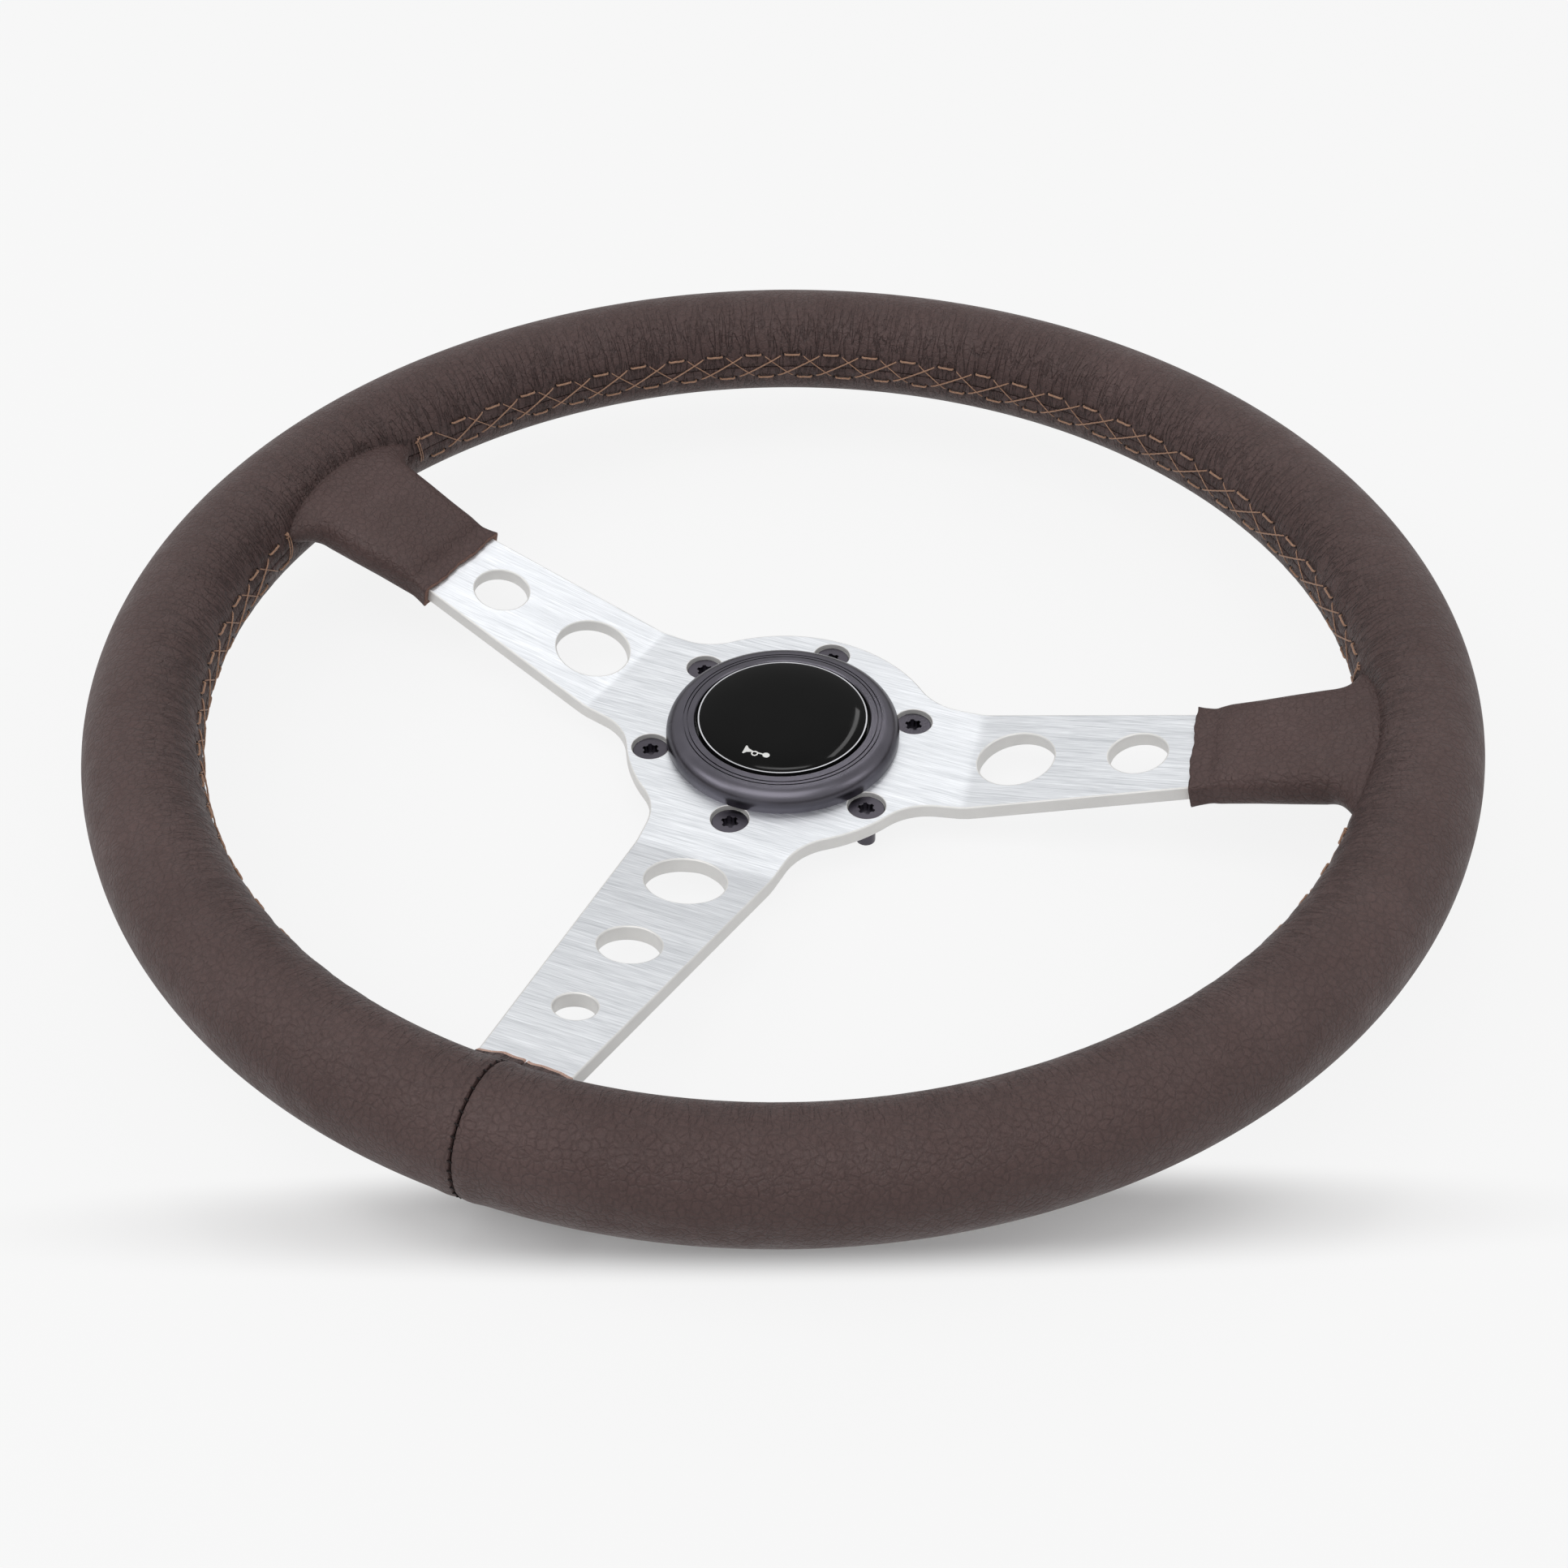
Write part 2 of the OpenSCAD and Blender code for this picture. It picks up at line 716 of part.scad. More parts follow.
// Coil spring with closed ends: its wire follows a helix whose rise eases
// in and out over the first and the last turn
module horn_spring() {
    wire_r = spring_wire_d / 2;
    low_z = cup_floor_z + seat_gap + seat_ring_t + seat_gap + wire_r;
    high_z = plate_z - seat_gap - wire_r;
    steps = round(spring_turns * 20);
    sides = 8;
    step_a = 360 / sides;
    points = [
        for (i = [0 : steps])
            let (t = i / steps, turn = 360 * spring_turns * t, rise = eased(t))
                for (k = [0 : sides - 1])
                    let (r = spring_r + wire_r * cos(k * step_a))
                        [
                            r * cos(turn), r * sin(turn),
                            low_z + (high_z - low_z) * rise + wire_r * sin(k * step_a)
                        ]
    ];
    skin = [
        for (i = [0 : steps - 1])
            for (k = [0 : sides - 1])
                [
                    i * sides + k, (i + 1) * sides + k,
                    (i + 1) * sides + (k + 1) % sides, i * sides + (k + 1) % sides
                ]
    ];
    first_cap = [for (k = [0 : sides - 1]) k];
    last_cap = [for (k = [sides - 1 : -1 : 0]) steps * sides + k];
    color([0.70, 0.71, 0.73]) polyhedron(points, concat(skin, [first_cap, last_cap]), convexity = 8);
}

// Share of the spring's rise reached at a share of its wire
function eased(t) = t * t * (3 - 2 * t);

// Rivet at a distance from the axis, from a lower to an upper face
module rivet(x, low_z, high_z, head_t) {
    color([0.75, 0.62, 0.32])
        translate([x, 0, 0]) {
            translate([0, 0, low_z - rivet_head_t]) cylinder(r = rivet_head_r, h = rivet_head_t, $fn = 32);
            translate([0, 0, low_z - eps]) cylinder(r = rivet_r, h = high_z - low_z + eps, $fn = 32);
            if (head_t > 0)
                translate([0, 0, high_z - eps]) cylinder(r = rivet_head_r, h = head_t, $fn = 32);
        }
}

module signal_rivet() {
    rivet(signal_r, under_floor_z - terminal_t - 2 * seat_gap, fixed_contact_z - seat_gap, 0);
}

module earth_rivet() {
    low_z = under_floor_z - terminal_t - 2 * seat_gap;
    rivet(-earth_r, low_z, cup_floor_z + 2 * seat_gap + seat_ring_t, rivet_head_t - seat_gap);
}

// Flat blade terminal under the floor of the cup, from its rivet
module terminal(x, dir) {
    half = terminal_w / 2;
    color([0.75, 0.62, 0.32])
        translate([x, 0, under_floor_z - seat_gap - terminal_t])
            linear_extrude(terminal_t)
                rotate(dir)
                    difference() {
                        union() {
                            circle(d = terminal_w, $fn = 48);
                            polygon([
                                [0, -half], [terminal_l - terminal_nose, -half],
                                [terminal_l, terminal_nose - half], [terminal_l, half - terminal_nose],
                                [terminal_l - terminal_nose, half], [0, half]
                            ]);
                        }
                        circle(r = rivet_r + seat_gap, $fn = 32);
                        translate([terminal_l - terminal_eye_back, 0])
                            circle(r = terminal_eye_r, $fn = 24);
                    }
}

module signal_terminal() {
    terminal(signal_r, 0);
}

module earth_terminal() {
    terminal(-earth_r, 90);
}

spoke_plate();
rim_hoop();
rim_foam();
rim_leather();
sleeve(180 - side_spoke_a);  // sleeve_left
sleeve(side_spoke_a);  // sleeve_right
mount_screw(0);  // mount_screw_1
mount_screw(1);  // mount_screw_2
mount_screw(2);  // mount_screw_3
mount_screw(3);  // mount_screw_4
mount_screw(4);  // mount_screw_5
mount_screw(5);  // mount_screw_6
horn_ring();
ring_clip();
horn_cup();
horn_push();
horn_dome();
contact_plate();
contact_screw();
contact_ring();
spring_seat();
horn_spring();
signal_rivet();
earth_rivet();
signal_terminal();
earth_terminal();
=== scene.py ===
"""Looks of a classic three-spoke steering wheel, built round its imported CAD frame.

Lengths in this file are millimetres in the part's own frame: the origin is
the centre of the hub's back face, +Z points to the driver and -Y to the six
o'clock spoke. Angles are degrees. Meshes are turned into metres when made.
"""

import math

import bmesh
import bpy
import numpy as np
from mathutils import Euler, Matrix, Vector
from mathutils.geometry import delaunay_2d_cdt


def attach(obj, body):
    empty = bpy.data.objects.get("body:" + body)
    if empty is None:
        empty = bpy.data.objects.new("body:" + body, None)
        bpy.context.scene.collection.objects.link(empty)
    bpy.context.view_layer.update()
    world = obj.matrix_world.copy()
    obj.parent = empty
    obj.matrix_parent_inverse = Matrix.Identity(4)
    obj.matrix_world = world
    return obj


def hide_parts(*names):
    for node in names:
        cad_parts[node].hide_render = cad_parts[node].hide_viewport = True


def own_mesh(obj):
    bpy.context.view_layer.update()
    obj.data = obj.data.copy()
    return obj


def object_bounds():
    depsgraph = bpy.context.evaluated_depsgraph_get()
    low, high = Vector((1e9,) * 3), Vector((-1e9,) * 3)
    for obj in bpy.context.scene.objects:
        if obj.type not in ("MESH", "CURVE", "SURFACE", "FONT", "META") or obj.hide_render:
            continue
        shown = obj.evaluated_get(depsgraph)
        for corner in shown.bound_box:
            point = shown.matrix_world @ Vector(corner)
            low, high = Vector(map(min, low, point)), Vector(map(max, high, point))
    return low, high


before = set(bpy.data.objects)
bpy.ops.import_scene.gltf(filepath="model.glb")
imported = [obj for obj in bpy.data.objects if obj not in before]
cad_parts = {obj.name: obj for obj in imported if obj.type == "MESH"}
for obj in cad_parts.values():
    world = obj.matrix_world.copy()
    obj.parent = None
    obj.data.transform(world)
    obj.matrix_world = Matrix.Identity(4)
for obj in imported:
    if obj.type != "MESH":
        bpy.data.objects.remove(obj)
cad_low, cad_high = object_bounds()

MM = 0.001
WHEEL = "wheel"
BUTTON = "horn_button"

# The rim: the same values as the construction
RIM_R = 160.8
GRIP_R = 14.2
GRIP_FLAT = 1.6
RIM_Z = 26.2
LEATHER_T = 1.2
SLIT_DROP = 1.2
SLIT_W = 0.15
RIM_OUT_R = RIM_R + GRIP_R

# The spoke plate
PLATE_T = 4.0
HUB_R = 41.5
HUB_FILLET_R = 16.0
BEND_D = 51.0
BEND_R = 12.0
SPOKE_W_BEND = 37.2
SPOKE_W_RIM = 19.6
SPOKE_RISE = 3.2
SPOKE_ANGLES = (10.0, 170.0, 270.0)
SIDE_ANGLES = {"sleeve_right": 10.0, "sleeve_left": 170.0}
SPOKE_TIP_R = 155.7
HUB_BORE_R = 25.5
# Each hole's distance from the axis, and its diameter
SIDE_HOLES = ((62.0, 20.0), (93.6, 15.0))
HOLES = {10.0: SIDE_HOLES, 170.0: SIDE_HOLES, 270.0: (*SIDE_HOLES, (121.4, 10.0))}
SCREW_CIRCLE_R = 35.0
SCREW_SEAT_R = 4.95
SCREW_HOLE_R = 2.7
SCREW_SEAT_Z = 2.5
EDGE_BREAK = 0.45
SEAT_BREAK = 0.2

SLOPE = math.atan((RIM_Z + SPOKE_RISE - PLATE_T / 2) / (RIM_R - BEND_D))
BEND_IN = BEND_R * math.tan(SLOPE / 2)
BEND_START = BEND_D - BEND_IN
BEND_END = BEND_START + 2 * BEND_IN
TAPER = (SPOKE_W_BEND - SPOKE_W_RIM) / 2 / (RIM_R - BEND_D)
HALF_W0 = SPOKE_W_BEND / 2 + TAPER * BEND_D

# The floor touches the tips of the mounting screws
FLOOR_Z = cad_low[2] / MM


# ---- helpers

def smooth(x, low, high):
    """Eases from 0 at low to 1 at high."""
    t = np.clip((x - low) / (high - low), 0.0, 1.0)
    return t * t * (3.0 - 2.0 * t)


def bump_at(x, width):
    """A soft bell of height 1 round x = 0."""
    return np.exp(-(x / width) ** 2)


def polar(r, angle):
    a = math.radians(angle)
    return np.array([r * math.cos(a), r * math.sin(a)])


def half_w(d):
    """Half a spoke's width at a distance from the axis."""
    return HALF_W0 - TAPER * d


def new_object(name, data):
    obj = bpy.data.objects.new(name, data)
    bpy.context.scene.collection.objects.link(obj)
    return obj


def make_object(name, verts, faces, material, body=WHEEL, uvs=None, smooth_shade=True, spots=None):
    """A mesh object from points in millimetres. spots gives each face's material number."""
    mesh = bpy.data.meshes.new(name)
    points = [tuple(float(c) * MM for c in v) for v in verts]
    mesh.from_pydata(points, [], [tuple(int(i) for i in f) for f in faces])
    if uvs is not None:
        layer = mesh.uv_layers.new(name="UVMap")
        loop_vert = np.zeros(len(mesh.loops), np.int32)
        mesh.loops.foreach_get("vertex_index", loop_vert)
        layer.data.foreach_set("uv", np.asarray(uvs, np.float32)[loop_vert].ravel())
    mesh.polygons.foreach_set("use_smooth", [smooth_shade] * len(mesh.polygons))
    for one in material if isinstance(material, (list, tuple)) else [material]:
        mesh.materials.append(one)
    if spots is not None:
        mesh.polygons.foreach_set("material_index", [int(s) for s in spots])
    mesh.update()
    obj = new_object(name, mesh)
    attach(obj, body)
    return obj


def grid_faces(rows, columns, close_columns=False, flip=False):
    """Quads over a grid of rows times columns points, row by row."""
    faces = []
    for i in range(rows - 1):
        for j in range(columns if close_columns else columns - 1):
            a = i * columns + j
            b = i * columns + (j + 1) % columns
            c, d = b + columns, a + columns
            faces.append((a, d, c, b) if flip else (a, b, c, d))
    return faces


def capped_faces(rows, columns):
    """Outward faces of a tube of rows times columns points, with closed ends."""
    faces = grid_faces(rows, columns, close_columns=True, flip=True)
    faces.append(tuple(range(columns)))
    faces.append(tuple((rows - 1) * columns + k for k in reversed(range(columns))))
    return faces


def turn_outwards(mesh):
    """Turns every face of a closed mesh outwards."""
    bm = bmesh.new()
    bm.from_mesh(mesh)
    bmesh.ops.recalc_face_normals(bm, faces=bm.faces)
    bm.to_mesh(mesh)
    bm.free()


# ---- materials

class Nodes:
    """Builds a material's nodes. An input takes a value or another node's output."""

    def __init__(self, name):
        self.material = bpy.data.materials.new(name)
        self.material.use_nodes = True
        self.tree = self.material.node_tree
        self.shader = self.tree.nodes["Principled BSDF"]

    def give(self, node, key, value):
        target = node.inputs[key.replace("_", " ") if isinstance(key, str) else key]
        if isinstance(value, bpy.types.NodeSocket):
            self.tree.links.new(value, target)
        else:
            target.default_value = value

    def add(self, kind, *inputs, **values):
        node = self.tree.nodes.new(kind)
        for key, value in values.items():
            if hasattr(node, key):
                setattr(node, key, value)
            else:
                self.give(node, key, value)
        for i, value in enumerate(inputs):
            self.give(node, i, value)
        return node

    def set(self, **values):
        for key, value in values.items():
            self.give(self.shader, key, value)

    def place(self, scale=(1, 1, 1), uv=False):
        """Coordinates in metres, of the object or of its UV map."""
        coord = self.add("ShaderNodeTexCoord").outputs["UV" if uv else "Object"]
        return self.add("ShaderNodeMapping", coord, Scale=scale).outputs["Vector"]

    def noise(self, vector, scale, detail=3.0, roughness=0.5):
        return self.add("ShaderNodeTexNoise", vector, Scale=scale, Detail=detail,
                        Roughness=roughness).outputs["Fac"]

    def cells(self, vector, scale):
        """Distance to the nearest edge between cells."""
        return self.add("ShaderNodeTexVoronoi", vector, feature="DISTANCE_TO_EDGE",
                        Scale=scale).outputs["Distance"]

    def ramp(self, source, stops):
        node = self.add("ShaderNodeValToRGB", source)
        ramp = node.color_ramp
        while len(ramp.elements) < len(stops):
            ramp.elements.new(0.5)
        for element, (at, colour) in zip(ramp.elements, stops):
            element.position = at
            element.color = colour
        return node.outputs["Color"]

    def span(self, source, from_low, from_high, low, high):
        return self.add("ShaderNodeMapRange", source, from_low, from_high, low, high).outputs["Result"]

    def math(self, operation, a, b):
        return self.add("ShaderNodeMath", a, b, operation=operation).outputs["Value"]

    def blend(self, a, b, share):
        """a times its share, and b times the rest."""
        return self.math("ADD", self.math("MULTIPLY", a, share), self.math("MULTIPLY", b, 1.0 - share))

    def bump(self, height, strength, distance, **normal):
        return self.add("ShaderNodeBump", Height=height, Strength=strength, Distance=distance,
                        **normal).outputs["Normal"]


def srgb(r, g, b):
    """Linear colour of an sRGB colour given as 0..255."""
    def line(c):
        c = c / 255.0
        return c / 12.92 if c <= 0.04045 else ((c + 0.055) / 1.055) ** 2.4
    return (line(r), line(g), line(b), 1.0)


# The Mix node's inputs for vectors and for colours, which share their names
MIX_VECTORS = (4, 5)
MIX_COLOURS = (6, 7)


def leather_material(name, puckered):
    """Dark brown smooth hide with a fine pebble grain. Its colour is darkened as painted shade in the
    grain's valleys and, when puckered, in the creases.
    """
    n = Nodes(name)
    n.set(Roughness=0.5, Specular_IOR_Level=0.25)
    here = n.place()
    # the pebbles' cells are pushed about, so that none stays a straight-edged cell
    warp = n.add("ShaderNodeTexNoise", here, Scale=380.0).outputs["Color"]
    pushed = n.add("ShaderNodeMix", data_type="VECTOR", Factor=0.0016)
    n.give(pushed, MIX_VECTORS[0], here)
    n.give(pushed, MIX_VECTORS[1], warp)
    pebbles = n.span(n.cells(pushed.outputs[1], 500.0), 0.0, 0.17, 0.0, 1.0)
    small = n.span(n.cells(pushed.outputs[1], 1150.0), 0.0, 0.22, 0.0, 1.0)
    creases = n.blend(pebbles, small, 0.7)
    fine = n.noise(here, 1300.0, 2.0)
    broad = n.noise(here, 28.0, 3.0)
    patch = n.noise(here, 170.0, 3.0)
    tone = n.ramp(broad, [(0.3, srgb(75, 58, 56)), (0.55, srgb(81, 64, 62)), (0.75, srgb(89, 71, 69))])
    # painted shade: the colour darkens in the pebbles' valleys
    valley_shade = n.span(creases, 0.0, 1.0, 0.76, 1.0)
    # the fine noise adds a random change of tone to that painted shade
    shade_and_tone = n.math("MULTIPLY", valley_shade, n.span(fine, 0.3, 0.7, 0.91, 1.09))
    height = n.math("ADD", creases, n.math("MULTIPLY", fine, 0.5))
    first = n.bump(height, 0.8, 0.00022)
    normal = n.bump(patch, 0.3, 0.0007, Normal=first)
    if puckered:
        # fine creases run across the rim and deepen towards the lacing, as bumps and as painted shade
        # that darkens the colour in them
        across = n.noise(n.place(scale=(460.0, 95.0, 1.0), uv=True), 1.0, 2.0, 0.55)
        across.node.inputs["Distortion"].default_value = 0.45
        fold = n.math("ABSOLUTE", n.math("SUBTRACT", across, 0.5), 0.0)
        fold = n.span(fold, 0.0, 0.055, 1.0, 0.0)
        round_grip = n.add("ShaderNodeSeparateXYZ", n.place(uv=True)).outputs["Y"]
        up = n.span(round_grip, 0.007, 0.026, 1.0, 0.0)
        low = n.span(round_grip, 0.078, 0.088, 0.0, 1.0)
        zone = n.math("MAXIMUM", up, low)
        depth = n.math("MULTIPLY", fold, n.span(zone, 0.0, 1.0, 0.12, 1.0))
        # painted shade: the colour darkens in the creases, most near the lacing
        shade_and_tone = n.math("MULTIPLY", shade_and_tone, n.span(depth, 0.0, 1.0, 1.0, 0.64))
        normal = n.bump(n.math("SUBTRACT", 1.0, depth), 0.8, 0.0004, Normal=normal)
    # the tone times the painted shade and the random tone
    shaded = n.add("ShaderNodeMix", data_type="RGBA", blend_type="MULTIPLY", Factor=1.0)
    n.give(shaded, MIX_COLOURS[0], tone)
    n.give(shaded, MIX_COLOURS[1], n.add("ShaderNodeCombineColor", shade_and_tone, shade_and_tone, shade_and_tone).outputs["Color"])
    n.set(Base_Color=shaded.outputs[2], Roughness=n.span(patch, 0.3, 0.7, 0.44, 0.58), Normal=normal)
    return n.material


def raw_edge_material(name, low, high):
    """Undyed tan core of the hide on its cut edges."""
    n = Nodes(name)
    n.set(Roughness=0.85)
    here = n.place()
    fibres = n.noise(here, 3000.0, 3.0)
    colour = n.ramp(fibres, [(0.3, srgb(*low)), (0.7, srgb(*high))])
    n.set(Base_Color=colour, Normal=n.bump(fibres, 0.6, 0.0002))
    return n.material


def thread_material():
    """Waxed tan thread."""
    n = Nodes("thread")
    n.set(Roughness=0.62, Sheen_Weight=0.2)
    here = n.place()
    fibres = n.noise(here, 4500.0, 3.0)
    colour = n.ramp(fibres, [(0.3, srgb(122, 88, 68)), (0.7, srgb(178, 138, 112))])
    n.set(Base_Color=colour, Normal=n.bump(fibres, 0.5, 0.00008))
    return n.material


def brushed_material():
    """Aluminium brushed straight across the wheel."""
    n = Nodes("brushed_plate")
    n.set(Metallic=1.0, Roughness=0.42)
    lines = n.noise(n.place(scale=(55.0, 2300.0, 55.0)), 1.0, 3.0, 0.65)
    hair = n.noise(n.place(scale=(160.0, 5600.0, 160.0)), 1.0, 2.0, 0.6)
    cloud = n.noise(n.place(scale=(14.0, 320.0, 14.0)), 1.0, 3.0, 0.6)
    both = n.blend(lines, hair, 0.55)
    colour = n.ramp(n.blend(both, cloud, 0.8), [(0.36, srgb(190, 193, 197)), (0.64, srgb(238, 240, 243))])
    rough = n.span(lines, 0.3, 0.7, 0.36, 0.48)
    n.set(Base_Color=colour, Roughness=rough, Normal=n.bump(both, 0.4, 0.00005))
    return n.material


def satin(n, colour, rough, patches, speckle, smoother, rougher, grain, strength):
    """An even finish with a fine grain and small, broad changes of tone."""
    here = n.place()
    broad = n.noise(here, patches, 3.0)
    base = srgb(*colour)[:3]
    low, high = ([min(1.0, c * share) for c in base] + [1.0] for share in (1.0 - speckle, 1.0 + speckle))
    n.set(Base_Color=n.ramp(broad, [(0.3, low), (0.7, high)]),
          Roughness=n.span(broad, 0.3, 0.7, max(0.02, rough - smoother), rough + rougher),
          Normal=n.bump(n.noise(here, grain, 3.0), strength, 0.0001))
    return n.material


def metal_material(name, colour, rough, grain=2200.0, strength=0.15, speckle=0.12, metallic=1.0):
    n = Nodes(name)
    n.set(Metallic=metallic, Roughness=rough)
    return satin(n, colour, rough, 90.0, speckle, 0.04, 0.06, grain, strength)


def plain_material(name, colour, rough, specular=0.5, grain=1500.0, strength=0.1):
    """Plastic, rubber, foam, dark thread, the painted shade in needle holes, or print."""
    n = Nodes(name)
    n.set(Roughness=rough, Specular_IOR_Level=specular)
    return satin(n, colour, rough, 120.0, 0.15, 0.03, 0.04, grain, strength)


LEATHER = leather_material("rim_leather", True)
SLEEVE_LEATHER = leather_material("sleeve_leather", False)
RAW_EDGE = raw_edge_material("leather_edge", (172, 136, 122), (216, 182, 166))
SLEEVE_EDGE = raw_edge_material("sleeve_edge", (84, 62, 56), (138, 104, 90))
THREAD = thread_material()
BRUSHED = brushed_material()
PLATE_EDGE = metal_material("plate_edge", (222, 221, 219), 0.5, strength=0.1, speckle=0.05, metallic=0.35)
ANODISED = metal_material("black_anodised", (86, 84, 91), 0.29, grain=2600.0, strength=0.2)
SCREW_BLACK = metal_material("screw_black", (82, 79, 86), 0.28, grain=2000.0, strength=0.25)
CLIP_STEEL = metal_material("clip_steel", (120, 120, 124), 0.32)
HOOP_METAL = metal_material("hoop_metal", (170, 171, 174), 0.4)
BRASS = metal_material("contact_brass", (214, 182, 112), 0.3)
STEEL = metal_material("small_steel", (186, 188, 192), 0.3)
FOAM = plain_material("rim_foam", (34, 33, 33), 0.9, 0.2, 900.0, 0.4)
CUP_PLASTIC = plain_material("cup_plastic", (32, 32, 33), 0.5)
PUSH_PLASTIC = plain_material("push_plastic", (24, 24, 25), 0.22)
DOME_GLOSS = plain_material("dome_gloss", (7, 7, 7), 0.05, 0.08, 300.0, 0.0)
# near-black: the seam's thread, and painted shade in the lacing's needle holes
SEAM_THREAD_AND_HOLE_SHADE = plain_material("seam_thread", (26, 20, 20), 0.7, 0.2, 4000.0, 0.4)
PRINT_WHITE = plain_material("print_white", (226, 226, 224), 0.3)
BRIGHT_RIM = metal_material("bright_rim", (200, 200, 204), 0.2)


NODE_MATERIALS = {
    "rim_hoop": HOOP_METAL, "rim_foam": FOAM, "horn_ring": ANODISED, "ring_clip": CLIP_STEEL,
    "horn_cup": CUP_PLASTIC, "horn_push": PUSH_PLASTIC, "contact_plate": BRASS, "contact_screw": STEEL,
    "contact_ring": BRASS, "spring_seat": BRASS, "signal_rivet": BRASS, "earth_rivet": BRASS,
    "signal_terminal": BRASS, "earth_terminal": BRASS,
    **{f"mount_screw_{i}": SCREW_BLACK for i in range(1, 7)},
}
for node, material in NODE_MATERIALS.items():
    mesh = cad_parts[node].data
    mesh.materials.clear()
    mesh.materials.append(material)
    for polygon in mesh.polygons:
        polygon.material_index = 0


# ---- the rim's section

ARC = math.pi * GRIP_R
GIRTH = 2 * (ARC + GRIP_FLAT)
SLIT_Q = -GRIP_R * math.asin((SLIT_DROP - GRIP_FLAT / 2) / GRIP_R)


def section(q):
    """Point (out, up) and normal of the grip's section. q is the length along
    it from the lower end of the inner flat, upwards over the top."""
    q = np.mod(q, GIRTH)
    u, v, nu, nv = (np.zeros_like(q) for _ in range(4))
    a = q < GRIP_FLAT
    u[a], v[a], nu[a] = -GRIP_R, q[a] - GRIP_FLAT / 2, -1.0
    b = (q >= GRIP_FLAT) & (q < GRIP_FLAT + ARC)
    t = np.pi - (q[b] - GRIP_FLAT) / GRIP_R
    nu[b], nv[b] = np.cos(t), np.sin(t)
    u[b], v[b] = GRIP_R * nu[b], GRIP_R * nv[b] + GRIP_FLAT / 2
    c = (q >= GRIP_FLAT + ARC) & (q < 2 * GRIP_FLAT + ARC)
    u[c], v[c], nu[c] = GRIP_R, GRIP_FLAT / 2 - (q[c] - GRIP_FLAT - ARC), 1.0
    d = q >= 2 * GRIP_FLAT + ARC
    t = -(q[d] - 2 * GRIP_FLAT - ARC) / GRIP_R
    nu[d], nv[d] = np.cos(t), np.sin(t)
    u[d], v[d] = GRIP_R * nu[d], GRIP_R * nv[d] - GRIP_FLAT / 2
    return u, v, nu, nv


def on_rim(theta, q, out=0.0):
    """Points on the rim's leather at polar angles theta and section lengths q."""
    theta, q = np.broadcast_arrays(np.asarray(theta, float), np.asarray(q, float))
    u, v, nu, nv = section(q)
    r = RIM_R + u + nu * out
    t = np.radians(theta)
    return np.stack([r * np.cos(t), r * np.sin(t), RIM_Z + v + nv * out], axis=-1)


# ---- stitching

STITCH_PITCH = 4.616
DASH_A = 1.85
LOWER_SHIFT = 1.44
HOLE_GAP = 0.26
# One upper dash's middle is set here, as the photo shows it
MARKED_DASH = 129.79
UPPER_R, LOWER_R, BACK_R, CROSS_R, END_R, KNOT_R = 0.29, 0.27, 0.16, 0.21, 0.17, 0.18
PLY_DEPTH = 0.13
UPPER_Q = GRIP_FLAT + GRIP_R * math.asin(2.1 / GRIP_R)
LOWER_Q = -GRIP_R * math.asin(4.2 / GRIP_R)
# Polar angles at which each laced run starts and ends, going clockwise
LACED_RUNS = ((159.6, 21.4), (258.0, 180.6), (358.2, 282.0))


def stitch_angles(run):
    """Start angles of the upper dashes in a laced run."""
    first, last = run
    count = int((first - last - DASH_A - LOWER_SHIFT) / STITCH_PITCH) + 1
    if run == LACED_RUNS[0]:
        whole = math.floor((first - MARKED_DASH) / STITCH_PITCH)
        start = MARKED_DASH + DASH_A / 2 + STITCH_PITCH * whole
    else:
        spare = (first - last) - (count - 1) * STITCH_PITCH - DASH_A - LOWER_SHIFT
        start = first - spare / 2
    return [start - STITCH_PITCH * k for k in range(count)]


def twisted_tube(points, radius, twist=2.4, plies=3, sides=12, step=0.3, phase=0.0):
    """Vertices and faces of a plied thread along points, with closed ends."""
    points = np.asarray(points, float)
    seg = np.linalg.norm(np.diff(points, axis=0), axis=1)
    run = np.concatenate([[0.0], np.cumsum(seg)])
    n = max(4, int(run[-1] / step) + 1)
    at = np.linspace(0, run[-1], n)
    line = np.stack([np.interp(at, run, points[:, i]) for i in range(3)], axis=1)
    tangent = np.gradient(line, axis=0)
    tangent /= np.linalg.norm(tangent, axis=1)[:, None]
    side = np.cross(tangent, [0.0, 0.0, 1.0])
    side /= np.linalg.norm(side, axis=1)[:, None]
    up = np.cross(side, tangent)
    psi = np.arange(sides) * 2 * np.pi / sides
    taper = np.minimum(1.0, np.minimum(at, run[-1] - at) / (radius * 1.2) + 0.45)
    spin = 2 * np.pi * (at[:, None] / twist) / plies
    wave = 1.0 + PLY_DEPTH * np.cos(plies * (psi[None, :] - spin) + phase)
    r = radius * wave * taper[:, None]
    spoke = np.cos(psi)[None, :, None] * side[:, None, :] + np.sin(psi)[None, :, None] * up[:, None, :]
    verts = (line[:, None, :] + r[..., None] * spoke).reshape(-1, 3)
    return verts, capped_faces(n, sides)


class Bundle:
    """Collects many small meshes into one piece."""

    def __init__(self):
        self.verts, self.faces, self.count = [], [], 0

    def add(self, verts, faces):
        self.verts.append(verts)
        self.faces.extend(tuple(i + self.count for i in f) for f in faces)
        self.count += len(verts)

    def build(self, name, material, **kw):
        return make_object(name, np.concatenate(self.verts), self.faces, material, **kw)


def thread_line(t0, q0, t1, q1, radius, lift=0.0, sink=0.9, steps=14):
    """Thread from one needle hole to another over the leather, its ends sunk."""
    s = np.linspace(0, 1, steps)
    over = radius * 0.75 + lift * np.sin(np.pi * s)
    ends = np.minimum(s, 1 - s) / 0.10
    out = over - sink * np.clip(1 - ends, 0, 1) ** 1.5
    return on_rim(t0 + (t1 - t0) * s, q0 + (q1 - q0) * s, out)


